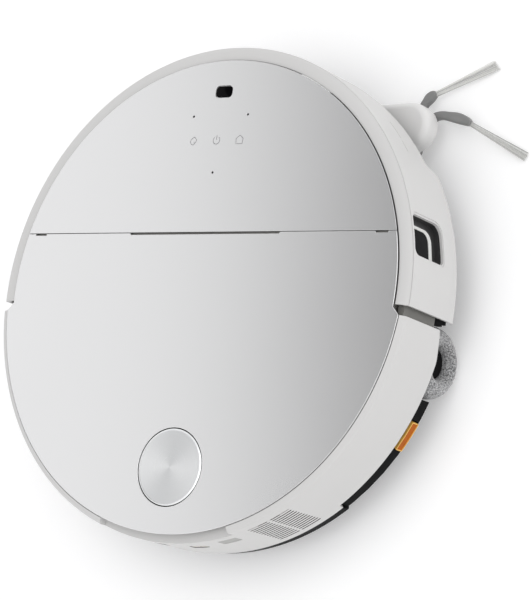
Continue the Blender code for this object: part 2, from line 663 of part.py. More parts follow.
# ---------------------------------------------------------------- roller mop
def make_mop(mat):
    outer, hole = MOP_R, MOP_HOLE_R
    arc = []
    for i in range(6):
        turn = math.pi / 2 * i / 5
        arc.append((outer - MOP_FILLET + MOP_FILLET * math.sin(turn),
                    MOP_RIGHT_X + MOP_FILLET * (1 - math.cos(turn))))
    profile = [(hole, MOP_RIGHT_X)] + arc
    left_round = 0.0030
    profile += [(outer, MOP_LEFT_X - left_round), (outer - left_round, MOP_LEFT_X), (hole, MOP_LEFT_X)]
    sleeve = turned_on_x("mop_sleeve", profile, MOP_Y, MOP_Z, mat["plush"], 40)
    core_r = hole - GAP
    core = turned_on_x("mop_core", [(0.0, MOP_RIGHT_X + 0.0030), (core_r, MOP_RIGHT_X + 0.0030),
                                    (core_r, MOP_LEFT_X + 0.0020), (0.0038, MOP_LEFT_X + 0.0020),
                                    (0.0038, MOP_LEFT_X + 0.0100), (0.0, MOP_LEFT_X + 0.0100)],
                       MOP_Y, MOP_Z, mat["black"], 24)
    roof_low, roof_high = 0.0312, 0.0334
    front, back = 0.0090, 0.0606
    carriage = block("mop_carriage", (-0.1430, front, roof_low), (MOP_LEFT_X + 0.0090, back, roof_high),
                     mat["black"])
    for name, low, high in (("carriage_front", front, front + 0.0006), ("carriage_back", back - 0.0006, back)):
        unite(carriage, block(name, (-0.1430, low, 0.0100), (MOP_LEFT_X + 0.0090, high, roof_high)))
    end = block("carriage_end", (MOP_LEFT_X + 0.0030, front, -0.0050), (MOP_LEFT_X + 0.0090, back, roof_high))
    unite(carriage, end)
    cut(carriage, rod("carriage_bore", 0.0042, MOP_LEFT_X, MOP_LEFT_X + 0.0200, MOP_Y, MOP_Z, steps=16))
    frame = block("mop_lift_frame", (-0.1250, 0.0180, 0.0337), (0.0950, 0.0520, 0.0366), mat["steel"])
    cut(frame, block("lift_frame_window", (-0.1100, 0.0260, 0.0300), (0.0800, 0.0440, 0.0400)))
    block("mop_scraper", (-0.1400, 0.0280, 0.0303), (0.0880, 0.0420, 0.0309), mat["rubber"])
    set_origin(carriage, (0.0, MOP_Y, MOP_Z))
    set_origin(frame, (0.0, MOP_Y, MOP_Z))
    set_origin(bpy.data.objects["mop_scraper"], (0.0, MOP_Y, MOP_Z))
    set_origin(sleeve, (0.0, MOP_Y, MOP_Z))
    set_origin(core, (0.0, MOP_Y, MOP_Z))


def make_latch(side, mat):
    bearing = side * LATCH_BEARING
    label = "right" if side > 0 else "left"
    latch = turned(f"mop_latch_{label}", [(0.1680, 0.0077), (0.1734, 0.0077), (0.1738, 0.0082),
                                          (0.1738, 0.0146), (0.1734, 0.0150), (0.1680, 0.0150)],
                   mat["amber"], bearing - 3.6, bearing + 3.6, steps=3)
    set_origin(latch, (*on_ring(0.1710, bearing), 0.0113))


# ---------------------------------------------------------------- inside
def make_dust_path(mat):
    bin_low, bin_high, wall = (-0.0900, -0.0338, 0.0034), (0.0900, 0.0060, 0.0634), 0.0018
    dustbin = block("dustbin", bin_low, bin_high, mat["clear"])
    cut(dustbin, block("dustbin_cavity", [v + wall for v in bin_low], [v - wall for v in bin_high]))
    cut(dustbin, block("dust_inlet", (-0.0270, -0.0400, 0.0150), (0.0270, -0.0300, 0.0290)))
    pleats = []
    for i in range(12):
        x = 0.0320 + i * 0.0045
        pleats.append((x, -0.0290 if i % 2 else -0.0240))
    outline = pleats + [(x, y + 0.0260) for x, y in pleats[::-1]]
    prism("dust_filter", outline, 0.0430, 0.0600, mat["filter"])
    centre = (0.0620, 0.0360)
    fan = turned("fan_housing", [(0.0120, 0.0482), (0.0290, 0.0482), (0.0290, 0.0662), (0.0, 0.0662),
                                 (0.0, 0.0648), (0.0275, 0.0648), (0.0275, 0.0496), (0.0120, 0.0496)],
                 mat["black"], centre=centre, steps=32)
    cut(fan, block("fan_outlet", (0.0800, 0.0300, 0.0520), (0.1000, 0.0440, 0.0620)))
    impeller = disc("fan_impeller", 0.0240, 0.0510, 0.0524, mat["grey"], centre, 27)
    unite(impeller, disc("impeller_cone", 0.0080, 0.0515, 0.0620, None, centre, 18))
    blades = 9
    for i in range(blades):
        route = []
        for j in range(4):
            share = j / 3
            route.append(on_ring(0.0060 + 0.0170 * share, 360 * i / blades + 38 * share, centre))
        unite(impeller, ribbon(f"impeller_blade_{i}", route, 0.0011, 0.0518, 0.0600))
    set_origin(impeller, (*centre, 0.0510))


def tank_outline(inset, side):
    """A tank between the lidar well and the rear wall, along the wall's curve."""
    x_in, y_in, radius = 0.0330 + inset, 0.0960 + inset, 0.1570 - inset
    x_out = math.sqrt(radius ** 2 - y_in ** 2)
    first = math.atan2(x_in, math.sqrt(radius ** 2 - x_in ** 2))
    last = math.atan2(x_out, y_in)
    points = [(x_in, y_in), (x_out, y_in)]
    for i in range(1, 9):
        turn = last + (first - last) * i / 8
        points.append((radius * math.sin(turn), radius * math.cos(turn)))
    return [(side * x, y) for x, y in points]


def make_tanks(mat):
    low, high, wall = 0.0040, 0.0600, 0.0020
    for side, name in ((-1, "clean_water_tank"), (1, "dirty_water_tank")):
        tank = prism(name, tank_outline(0.0, side), low, high, mat["clear"])
        cut(tank, prism(f"{name}_cavity", tank_outline(wall, side), low + wall, high - wall))
        cut(tank, disc(f"{name}_port", 0.0075, high - 0.0100, high + 0.0100,
                       centre=(side * 0.0760, 0.1160), steps=20))


def make_electrics(mat):
    block("battery_pack", (-0.0720, 0.0660, 0.0036), (0.0720, 0.0930, 0.0470), mat["black"])
    board = block("main_board", (-0.0500, -0.1480, 0.0540), (0.0500, -0.1000, 0.0556), mat["board"])
    for i, (x, y, size, rise) in enumerate(((-0.0300, -0.1250, 0.0160, 0.0020),
                                            (0.0000, -0.1150, 0.0100, 0.0025),
                                            (0.0300, -0.1320, 0.0200, 0.0040))):
        unite(board, block(f"board_chip_{i}", (x - size / 2, y - size / 2, 0.0550),
                           (x + size / 2, y + size / 2, 0.0556 + rise)))
    pump = block("water_pump", (-0.0800, 0.0260, 0.0490), (-0.0440, 0.0480, 0.0630), mat["black"])
    unite(pump, rod("pump_nozzle", 0.0030, -0.0920, -0.0700, 0.0370, 0.0560, steps=12))
    sensor = block("front_sensor_module", (-0.0300, -0.1540, 0.0320), (0.0300, -0.1450, 0.0460),
                   mat["black"])
    for side in (1, -1):
        cut(sensor, block(f"sensor_eye_{side}", (side * 0.0180 - 0.0050, -0.1600, 0.0350),
                          (side * 0.0180 + 0.0050, -0.1500, 0.0430)))
    motor = turned_on_x("main_brush_motor", [(0.0, 0.0350), (0.0110, 0.0350), (0.0110, 0.0760),
                                             (0.0, 0.0760)], -0.1050, 0.0180, mat["steel"], 20)
    disc("arm_swing_motor", 0.0120, 0.0132, 0.0340, mat["steel"], ARM_PIVOT, 20)
    for side, label in ((1, "right"), (-1, "left")):
        middle = 180 - side * CONTACT_BEARING
        band(f"charge_contact_{label}", 0.1722, 0.1749, 0.0430, 0.0490, middle - 1.95, middle + 1.95,
             mat["copper"], 2)
    band("rear_light_window", 0.1722, 0.1749, 0.0458, 0.0542, 162.95, 167.25, mat["light"], 2)


def main():
    clear_scene()
    mat = make_materials()
    make_base(mat)
    make_frame(mat)
    make_rear_shell(mat)
    make_front_panel(mat)
    make_tof_window(mat)
    make_rear_cover(mat)
    make_lidar(mat)
    make_bumper(mat)
    make_side_brush(mat)
    make_main_brush(mat)
    make_drive_wheel(1, mat)
    make_drive_wheel(-1, mat)
    make_caster(mat)
    make_mop(mat)
    make_latch(1, mat)
    make_latch(-1, mat)
    make_dust_path(mat)
    make_tanks(mat)
    make_electrics(mat)


main()
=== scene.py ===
"""Looks of a robot vacuum with a roller mop, built around its packed mechanical model.

Metres, +Z up, the front is -Y and the right side is -X. Bearings are degrees seen from above,
clockwise from the front, so 90 is the right side and 180 the rear.
"""

import math
import random

import bmesh
import bpy
from mathutils import Matrix, Vector


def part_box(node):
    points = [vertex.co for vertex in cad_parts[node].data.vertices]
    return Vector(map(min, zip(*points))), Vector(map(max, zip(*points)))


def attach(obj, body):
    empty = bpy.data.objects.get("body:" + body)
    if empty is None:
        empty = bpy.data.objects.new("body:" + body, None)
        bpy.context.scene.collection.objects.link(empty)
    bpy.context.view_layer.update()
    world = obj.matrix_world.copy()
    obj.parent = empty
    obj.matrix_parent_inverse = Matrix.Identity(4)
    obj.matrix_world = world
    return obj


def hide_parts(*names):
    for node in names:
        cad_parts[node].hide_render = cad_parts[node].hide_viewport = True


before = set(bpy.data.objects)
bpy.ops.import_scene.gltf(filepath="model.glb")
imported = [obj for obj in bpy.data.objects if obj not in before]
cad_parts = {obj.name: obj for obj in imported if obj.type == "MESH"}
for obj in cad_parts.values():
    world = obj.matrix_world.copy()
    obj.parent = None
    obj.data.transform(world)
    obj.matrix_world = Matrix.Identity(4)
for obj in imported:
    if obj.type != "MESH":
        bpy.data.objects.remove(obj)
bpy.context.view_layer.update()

bl_info = {
    "name": "Robot vacuum looks",
    "version": (1, 0, 0),
    "blender": (4, 5, 0),
    "location": "3D View > Sidebar > Robot vacuum",
    "description": "Detailed pieces and finishes for a robot vacuum with a roller mop",
    "category": "Object",
}

TOP_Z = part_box("rear_top_cover")[1].z
FLOOR_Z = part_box("mop_sleeve")[0].z - 0.0003
BODY_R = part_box("bumper")[1].x + 0.0001
LIDAR = sum(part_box("lidar_cap"), Vector()) / 2
SLEEVE_LOW, SLEEVE_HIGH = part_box("mop_sleeve")
ROLLER = (SLEEVE_LOW + SLEEVE_HIGH) / 2
# How far a cutter reaches on both sides of the round wall, as two radii.
THROUGH_WALL = (0.1600, 0.1900)
# Radius of the flat middle of the top plates, inside their rounded edge.
PLATE_CORE_R = 0.1572
PIVOT = Vector((-0.0700, -0.1150, 0.0))
HUB = Vector((-0.1120, -0.1180, 0.0))


# ---------------------------------------------------------------- settings
class BodySettings(bpy.types.PropertyGroup):
    """Sizes of the top, the shell and the bumper."""

    panel_r: bpy.props.FloatProperty(
        name="Plate radius", description="Radius of the front plate", default=0.1646, unit="LENGTH")
    cover_r: bpy.props.FloatProperty(
        name="Cover radius", description="Radius of the rear cover", default=0.1700, unit="LENGTH")
    seam_y: bpy.props.FloatProperty(
        name="Seam", description="Where the plate meets the cover", default=-0.0408, unit="LENGTH")
    edge_round: bpy.props.FloatProperty(
        name="Edge rounding", description="Rounding of the plate edges", default=0.00035, unit="LENGTH")
    ring_steps: bpy.props.IntProperty(
        name="Ring steps", description="Steps in a full turn of a shell", default=240, min=48)
    groove: bpy.props.FloatProperty(
        name="Parting groove", description="Depth of the bumper's parting line", default=0.0007,
        unit="LENGTH")
    plate: bpy.props.FloatVectorProperty(
        name="Plate colour", description="Colour of the top plates", subtype="COLOR",
        default=(0.82, 0.82, 0.82))
    shell: bpy.props.FloatVectorProperty(
        name="Shell colour", description="Colour of the shell and bumper", subtype="COLOR",
        default=(0.595, 0.59, 0.582))


class BrushSettings(bpy.types.PropertyGroup):
    """Sizes of the side brush and its arm."""

    arm_round: bpy.props.FloatProperty(
        name="Arm rounding", description="Rounding of the arm's top edge", default=0.0052, unit="LENGTH")
    fibres: bpy.props.IntProperty(
        name="Fibres", description="Fibres in one tuft", default=90, min=10)
    fibre_width: bpy.props.FloatProperty(
        name="Fibre width", description="Width of one fibre, drawn coarser than life",
        default=0.00034, unit="LENGTH")
    leg_width: bpy.props.FloatProperty(
        name="Leg width", description="Width of a rubber leg", default=0.0066, unit="LENGTH")


class MopSettings(bpy.types.PropertyGroup):
    """Sizes of the plush roller."""

    fillet: bpy.props.FloatProperty(
        name="End rounding", description="Rounding of the roller's outer end", default=0.0130,
        unit="LENGTH")
    hole_r: bpy.props.FloatProperty(
        name="Hub hole", description="Radius of the hole at the outer end", default=0.0112, unit="LENGTH")
    nap: bpy.props.FloatProperty(
        name="Nap", description="How uneven the pile stands", default=0.0005, unit="LENGTH")
    rings: bpy.props.IntProperty(
        name="Rings", description="Rings along the roller", default=190, min=20)


class StageSettings(bpy.types.PropertyGroup):
    """Camera, floor and lights."""

    lens: bpy.props.FloatProperty(
        name="Lens", description="Focal length of the camera", default=158.0, subtype="DISTANCE_CAMERA")
    floor_size: bpy.props.FloatProperty(
        name="Floor size", description="Width of the floor", default=14.0, unit="LENGTH")
    key_power: bpy.props.FloatProperty(
        name="Overhead light", description="Power of the soft light over the machine", default=4.5,
        unit="POWER")
    room_light: bpy.props.FloatProperty(
        name="Room light", description="Brightness of the room", default=1.0)
    dim_light: bpy.props.FloatProperty(
        name="Dim patch", description="Brightness of the patch that the plates mirror", default=0.10)
    fill_power: bpy.props.FloatProperty(
        name="Fill light", description="Power of the light at the front right", default=3.4,
        unit="POWER")


# ---------------------------------------------------------------- colour and nodes
def srgb(code):
    """A colour such as #A0A0A0 as the linear values that a shader takes."""
    parts = [int(code[i:i + 2], 16) / 255 for i in (1, 3, 5)]
    return (*[p / 12.92 if p <= 0.04045 else ((p + 0.055) / 1.055) ** 2.4 for p in parts], 1.0)


def add_node(tree, kind, settings=None, links=None):
    """Add a node, set its options and sockets, and link its inputs."""
    made = tree.nodes.new(kind)
    for key, value in (settings or {}).items():
        if isinstance(key, str) and hasattr(made, key):
            setattr(made, key, value)
        else:
            made.inputs[key].default_value = value
    for key, source in (links or {}).items():
        tree.links.new(source, made.inputs[key])
    return made


def new_material(name, settings):
    """A material with a Principled shader, and its node tree."""
    made = bpy.data.materials.new(name)
    made.use_nodes = True
    tree = made.node_tree
    shader = tree.nodes["Principled BSDF"]
    for key, value in settings.items():
        shader.inputs[key].default_value = value
    return made, tree, shader


def grained(name, settings, grain_mm, depth_mm, tint, cloud_mm=60.0, rough_swing=0.06,
            stretch=(1.0, 1.0, 1.0)):
    """A moulded, rubbed or coated surface: fine grain, slow cloudiness and uneven gloss.

    grain_mm is the size of the texture left by the mould, depth_mm how deep it is, tint how far
    the colour drifts from one place to another, and cloud_mm how wide those places are.
    """
    made, tree, shader = new_material(name, settings)
    place = add_node(tree, "ShaderNodeTexCoord")
    scaled = add_node(tree, "ShaderNodeMapping", {"Scale": stretch}, {"Vector": place.outputs["Object"]})
    grain = add_node(tree, "ShaderNodeTexNoise", {"Scale": 1000 / grain_mm, "Detail": 3.0},
                     {"Vector": scaled.outputs[0]})
    cloud = add_node(tree, "ShaderNodeTexNoise", {"Scale": 1000 / cloud_mm, "Detail": 2.0},
                     {"Vector": place.outputs["Object"]})
    base = settings["Base Color"]
    low = tuple(max(0.0, c * (1 - tint)) for c in base[:3]) + (1.0,)
    high = tuple(min(1.0, c * (1 + tint)) for c in base[:3]) + (1.0,)
    mixed = add_node(tree, "ShaderNodeMix", {"data_type": "FLOAT"},
                     {2: cloud.outputs["Fac"], 3: grain.outputs["Fac"]})
    mixed.inputs[0].default_value = 0.35
    colour = add_node(tree, "ShaderNodeValToRGB", {}, {"Fac": mixed.outputs[0]})
    colour.color_ramp.elements[0].position = 0.35
    colour.color_ramp.elements[0].color = low
    colour.color_ramp.elements[1].position = 0.65
    colour.color_ramp.elements[1].color = high
    tree.links.new(colour.outputs["Color"], shader.inputs["Base Color"])
    rough = settings.get("Roughness", 0.5)
    gloss = add_node(tree, "ShaderNodeMapRange", {"From Min": 0.3, "From Max": 0.7,
                                                  "To Min": max(0.02, rough - rough_swing),
                                                  "To Max": min(1.0, rough + rough_swing)},
                     {"Value": mixed.outputs[0]})
    tree.links.new(gloss.outputs[0], shader.inputs["Roughness"])
    bump = add_node(tree, "ShaderNodeBump", {"Strength": 1.0, "Distance": depth_mm / 1000},
                    {"Height": grain.outputs["Fac"]})
    tree.links.new(bump.outputs["Normal"], shader.inputs["Normal"])
    return made, tree, shader


def make_materials(body):
    """Every finish of the machine, by a short key."""
    made = {}
    # Pearl lacquer behind a hard clear sheet: a soft metallic gradient with a sharp gloss on top.
    made["plate"] = grained("pearl_lacquer_under_clear_sheet", {
        "Base Color": (*body.plate, 1.0), "Metallic": 0.82, "Roughness": 0.17, "Coat Weight": 0.25,
        "Coat Roughness": 0.06}, 0.35, 0.00008, 0.008, 90.0, 0.006)[0]
    # Dark grey on the side faces of that sheet: painted shade, standing in for the thin dark shadow line along the
    # plate's edge.
    made["plate_edge_shade"] = grained("painted_shade_sheet_edge", {
        "Base Color": srgb("#5C5C5C"), "Roughness": 0.45}, 0.5, 0.002, 0.10)[0]
    # ABS from a finely spark-eroded mould: warm white, satin, with a very fine grain.
    made["white"] = grained("satin_white_moulded_abs", {
        "Base Color": (*body.shell, 1.0), "Roughness": 0.42, "Specular IOR Level": 0.42},
        0.45, 0.003, 0.015, 120.0)[0]
    # The same white ABS made a little brighter as painted light, standing in for the light on the arm's top, and a
    # little smoother.
    made["arm_lit_white"] = grained("white_abs_painted_brighter", {
        "Base Color": tuple(min(1.0, c * 1.16) for c in body.shell) + (1.0,), "Roughness": 0.36},
        0.45, 0.002, 0.015, 90.0)[0]
    # Unpainted ABS of the inner frame, duller and greyer than the shell.
    made["grey"] = grained("grey_moulded_abs", {
        "Base Color": srgb("#93928E"), "Roughness": 0.58}, 0.6, 0.006, 0.05)[0]
    # Black ABS of the base, with a coarser mould texture that keeps it matt.
    made["black"] = grained("black_textured_abs", {
        "Base Color": srgb("#0C0C0D"), "Roughness": 0.55, "Specular IOR Level": 0.06},
        0.55, 0.010, 0.25, 70.0)[0]
    # The same black ABS where it is rubbed smoother, so it stands out a little from the base.
    made["base_detail"] = grained("black_satin_abs", {
        "Base Color": srgb("#202021"), "Roughness": 0.36, "Specular IOR Level": 0.35},
        0.5, 0.004, 0.15, 30.0)[0]
    # Polished infrared-clear polycarbonate: looks black, with clean reflections.
    made["glass"] = grained("black_polished_polycarbonate", {
        "Base Color": srgb("#070708"), "Roughness": 0.08, "Specular IOR Level": 0.05},
        1.2, 0.0004, 0.20, 40.0, 0.02)[0]
    # Light trim round a window, semi-gloss.
    made["trim"] = grained("light_grey_semi_gloss_abs", {
        "Base Color": srgb("#C9C9C6"), "Roughness": 0.30}, 0.5, 0.002, 0.03)[0]
    # Stamped and zinc-plated steel.
    made["steel"] = grained("zinc_plated_steel", {
        "Base Color": srgb("#B9BABC"), "Metallic": 1.0, "Roughness": 0.32}, 0.7, 0.003, 0.08, 25.0,
        0.10, (1.0, 9.0, 9.0))[0]
    # Soft grey silicone rubber of the brushes: matt, slightly dusty.
    made["rubber"] = grained("grey_silicone_rubber", {
        "Base Color": srgb("#7E7E7D"), "Roughness": 0.62, "Sheen Weight": 0.15, "Sheen Roughness": 0.5},
        0.7, 0.012, 0.07, 12.0)[0]
    # Black nitrile tyre rubber, scuffed lighter in places.
    made["tyre"] = grained("black_nitrile_rubber", {
        "Base Color": srgb("#232323"), "Roughness": 0.80}, 0.5, 0.020, 0.30, 9.0)[0]
    made["bristle"] = nylon_filament()
    # Amber polycarbonate with its moulded-in colour, and a lighter rim: a painted highlight for the light that
    # gathers in its edge.
    made["amber"] = grained("amber_moulded_polycarbonate", {
        "Base Color": srgb("#AE5A0A"), "Roughness": 0.35, "Specular IOR Level": 0.12},
        0.5, 0.003, 0.08, 6.0)[0]
    made["amber_rim"] = grained("amber_polycarbonate_painted_rim_highlight", {
        "Base Color": srgb("#E6B457"), "Roughness": 0.30}, 0.5, 0.002, 0.06, 6.0)[0]
    # Smoked polycarbonate of the tanks and the bin: part clear, glossy.
    made["smoked"] = grained("smoked_clear_polycarbonate", {
        "Base Color": srgb("#8D9196"), "Roughness": 0.12, "IOR": 1.585, "Transmission Weight": 0.55},
        2.0, 0.0010, 0.04, 60.0, 0.03)[0]
    # Pleated filter paper, matt and fibrous.
    made["paper"] = grained("pleated_filter_paper", {
        "Base Color": srgb("#E9E6DB"), "Roughness": 0.92}, 0.6, 0.040, 0.06, 8.0)[0]
    # Nickel-plated charging contact, rubbed bright.
    made["contact"] = grained("nickel_plated_contact", {
        "Base Color": srgb("#C9C5BC"), "Metallic": 1.0, "Roughness": 0.28}, 0.5, 0.002, 0.05, 4.0, 0.08,
        (1.0, 1.0, 8.0))[0]
    # Frosted acrylic light window, flush with the shell.
    made["frosted"] = grained("frosted_acrylic", {
        "Base Color": srgb("#A3A3A0"), "Roughness": 0.45}, 0.4, 0.002, 0.03)[0]
    # Screen-printed ink of the touch symbols.
    made["ink"] = grained("grey_screen_print_ink", {
        "Base Color": srgb("#7C7C7D"), "Roughness": 0.50}, 0.3, 0.001, 0.08, 3.0)[0]
    # Satin grey ABS of the walls inside the gap, toned darker as painted shade for the shadow in the gap.
    made["liner"] = grained("satin_grey_inner_abs_with_painted_gap_shade", {
        "Base Color": srgb("#757470"), "Roughness": 0.50}, 0.5, 0.004, 0.04)[0]
    # Dark satin ABS of the sensor recess, soft enough to shade from grey to black.
    made["recess"] = grained("dark_satin_recess_abs", {
        "Base Color": srgb("#363636"), "Roughness": 0.38}, 0.5, 0.003, 0.06)[0]
    # Painted shade: near-black put on hole floors, on the walls of slots and pockets and on the sheet behind the
    # exhaust slots, where shade falls.
    made["hole"] = grained("painted_shade_in_holes", {
        "Base Color": srgb("#141414"), "Roughness": 0.85}, 0.4, 0.002, 0.20, 3.0)[0]
    made["cap"] = turned_aluminium()
    made["plush"] = heather_plush()
    made["board"] = circuit_board()
    return made


def turned_aluminium():
    """Anodised aluminium faced on a lathe: fine rings, and a painted highlight of bright opposite wedges laid into
    the colour.
    """
    made, tree, shader = new_material("lathe_turned_anodised_aluminium", {
        "Base Color": srgb("#F0F0F1"), "Metallic": 1.0, "Roughness": 0.20, "Anisotropic": 0.40,
        "Anisotropic Rotation": 0.0})
    place = add_node(tree, "ShaderNodeTexCoord")
    middle = add_node(tree, "ShaderNodeMapping", {"Location": (-LIDAR.x, -LIDAR.y, 0.0)},
                      {"Vector": place.outputs["Object"]})
    flat = add_node(tree, "ShaderNodeVectorMath", {"operation": "MULTIPLY", 1: (1.0, 1.0, 0.0)},
                    {0: middle.outputs[0]})
    reach = add_node(tree, "ShaderNodeVectorMath", {"operation": "LENGTH"}, {0: flat.outputs[0]})
    rings = add_node(tree, "ShaderNodeTexNoise",
                     {"noise_dimensions": "1D", "Scale": 1000 / 0.5, "Detail": 2.0},
                     {"W": reach.outputs["Value"]})
    parts = add_node(tree, "ShaderNodeSeparateXYZ", {}, {0: middle.outputs[0]})
    turn = add_node(tree, "ShaderNodeMath", {"operation": "ARCTAN2"},
                    {0: parts.outputs["Y"], 1: parts.outputs["X"]})
    around = add_node(tree, "ShaderNodeVectorMath", {"operation": "NORMALIZE"}, {0: flat.outputs[0]})
    streaks = add_node(tree, "ShaderNodeTexNoise", {"Scale": 2.6, "Detail": 5.0},
                       {"Vector": around.outputs[0]})
    # Painted highlight: the cosine of twice the bearing makes two bright opposite wedges, mixed with random streaks,
    # standing in for the light that the rings throw.
    double = add_node(tree, "ShaderNodeMath", {"operation": "MULTIPLY", 1: 2.0}, {0: turn.outputs[0]})
    shifted = add_node(tree, "ShaderNodeMath", {"operation": "ADD", 1: 0.52}, {0: double.outputs[0]})
    sector_highlight = add_node(tree, "ShaderNodeMath", {"operation": "COSINE"}, {0: shifted.outputs[0]})
    both = add_node(tree, "ShaderNodeMath", {"operation": "MULTIPLY_ADD", 1: 0.35},
                    {0: streaks.outputs["Fac"], 2: sector_highlight.outputs[0]})
    shade = add_node(tree, "ShaderNodeMapRange", {"From Min": -0.8, "From Max": 1.3, "To Min": 0.62,
                                                  "To Max": 1.0}, {"Value": both.outputs[0]})
    # The colour runs from grey to near-white with that painted highlight and the streaks.
    tint = add_node(tree, "ShaderNodeMix", {"data_type": "RGBA"}, {0: shade.outputs[0]})
    tint.inputs[6].default_value = srgb("#CDCFD0")
    tint.inputs[7].default_value = srgb("#FDFEFE")
    gloss = add_node(tree, "ShaderNodeMapRange", {"To Min": 0.24, "To Max": 0.38},
                     {"Value": rings.outputs["Fac"]})
    bump = add_node(tree, "ShaderNodeBump", {"Strength": 0.6, "Distance": 0.00002},
                    {"Height": rings.outputs["Fac"]})
    tree.links.new(tint.outputs[2], shader.inputs["Base Color"])
    tree.links.new(gloss.outputs[0], shader.inputs["Roughness"])
    tree.links.new(bump.outputs["Normal"], shader.inputs["Normal"])
    return made


def nylon_filament():
    """Pale nylon: each fibre has its own tone, from a number kept in its map, and darkens at its root as painted
    shade under the leg.
    """
    made, tree, shader = new_material("pale_nylon_filament", {"Base Color": srgb("#C9C9C5"), "Roughness": 0.45})
    place = add_node(tree, "ShaderNodeUVMap", {"uv_map": "fibre"})
    parts = add_node(tree, "ShaderNodeSeparateXYZ", {}, {0: place.outputs["UV"]})
    own = add_node(tree, "ShaderNodeTexWhiteNoise", {"noise_dimensions": "1D"}, {"W": parts.outputs["X"]})
    tone = add_node(tree, "ShaderNodeValToRGB", {}, {"Fac": own.outputs["Value"]})
    for spot, code in ((0.0, "#77777A"), (0.22, "#BDBDBA"), (0.6, "#D4D4D0"), (1.0, "#E6E6E2")):
        stop = tone.color_ramp.elements.new(spot) if 0.0 < spot < 1.0 else tone.color_ramp.elements[int(spot)]
        stop.color = srgb(code)
    # Painted shade: the fibres darken towards their root, where they bunch under the rubber leg.
    root = add_node(tree, "ShaderNodeMapRange", {"From Max": 0.2, "To Min": 0.72}, {"Value": parts.outputs["Y"]})
    shade = add_node(tree, "ShaderNodeVectorMath", {"operation": "SCALE"},
                     {0: tone.outputs["Color"], "Scale": root.outputs[0]})
    tree.links.new(shade.outputs[0], shader.inputs["Base Color"])
    return made


def heather_plush():
    """Knitted microfibre pile in two greys: soft sheen, speckled, with tufts about 0.9 mm wide."""
    made, tree, shader = new_material("grey_heather_microfibre_pile", {
        "Base Color": srgb("#9A9A9A"), "Roughness": 0.95, "Sheen Weight": 0.5, "Sheen Roughness": 0.45})
    place = add_node(tree, "ShaderNodeTexCoord")
    tufts = add_node(tree, "ShaderNodeTexVoronoi", {"Scale": 1000 / 0.9}, {"Vector": place.outputs["Object"]})
    speck = add_node(tree, "ShaderNodeTexNoise", {"Scale": 1000 / 1.1, "Detail": 4.0, "Roughness": 0.7},
                     {"Vector": place.outputs["Object"]})
    colour = add_node(tree, "ShaderNodeValToRGB", {}, {"Fac": speck.outputs["Fac"]})
    ramp = colour.color_ramp
    ramp.elements[0].position = 0.36
    ramp.elements[0].color = srgb("#3E3E3F")
    ramp.elements[1].position = 0.62
    ramp.elements[1].color = srgb("#C6C6C6")
    ramp.elements.new(0.48).color = srgb("#858586")
    bump = add_node(tree, "ShaderNodeBump", {"Strength": 1.0, "Distance": 0.0004},
                    {"Height": tufts.outputs["Distance"]})
    bump.invert = True
    tree.links.new(colour.outputs["Color"], shader.inputs["Base Color"])
    tree.links.new(bump.outputs["Normal"], shader.inputs["Normal"])
    return made


def circuit_board():
    """Green solder mask over copper tracks: glossy, with lighter lines 1.5 mm apart."""
    made, tree, shader = new_material("green_solder_mask", {"Base Color": srgb("#1B6B3C"), "Roughness": 0.28})
    place = add_node(tree, "ShaderNodeTexCoord")
    tracks = add_node(tree, "ShaderNodeTexBrick", {"Scale": 1000 / 6.0, "Color1": srgb("#17603A"),
                                                   "Color2": srgb("#1E7043"), "Mortar": srgb("#3B9562"),
                                                   "Mortar Size": 0.04, "Bias": 0.0},
                      {"Vector": place.outputs["Object"]})
    bump = add_node(tree, "ShaderNodeBump", {"Strength": 0.5, "Distance": 0.00004},
                    {"Height": tracks.outputs["Fac"]})
    tree.links.new(tracks.outputs["Color"], shader.inputs["Base Color"])
    tree.links.new(bump.outputs["Normal"], shader.inputs["Normal"])
    return made


MATERIALS = {}


# ---------------------------------------------------------------- modelling helpers
def ring_spot(radius, bearing, z=0.0):
    """The point at a radius and bearing."""
    turn = math.radians(bearing)
    return Vector((-radius * math.sin(turn), -radius * math.cos(turn), z))


def object_mode():
    if bpy.context.object and bpy.context.mode != "OBJECT":
        bpy.ops.object.mode_set(mode="OBJECT")


def only(piece):
    """Select one piece and nothing else."""
    object_mode()
    bpy.ops.object.select_all(action="DESELECT")
    piece.select_set(True)
    bpy.context.view_layer.objects.active = piece


def start(name):
    """A new piece of one point at the origin, open in edit mode."""
    object_mode()
    bpy.ops.object.select_all(action="DESELECT")
    bpy.ops.mesh.primitive_plane_add(size=0.001, location=(0.0, 0.0, 0.0))
    piece = bpy.context.object
    piece.name = name
    bpy.ops.object.mode_set(mode="EDIT")
    bpy.ops.mesh.select_mode(type="VERT")
    bpy.ops.mesh.select_all(action="SELECT")
    bpy.ops.mesh.merge(type="CENTER")
    return piece


def draw(name, spots, closed=True, filled=True):
    """Extrude one point along a route, and close and fill it when asked."""
    piece = start(name)
    spots = [Vector(spot) for spot in spots]
    bpy.ops.transform.translate(value=spots[0])
    for here, there in zip(spots, spots[1:]):
        bpy.ops.mesh.extrude_vertices_move(TRANSFORM_OT_translate={"value": there - here})
    if closed:
        bpy.ops.mesh.extrude_vertices_move(TRANSFORM_OT_translate={"value": spots[0] - spots[-1]})
        bpy.ops.mesh.select_all(action="SELECT")
        bpy.ops.mesh.remove_doubles(threshold=1e-6)
    bpy.ops.mesh.select_all(action="SELECT")
    if filled:
        bpy.ops.mesh.edge_face_add()
    return piece


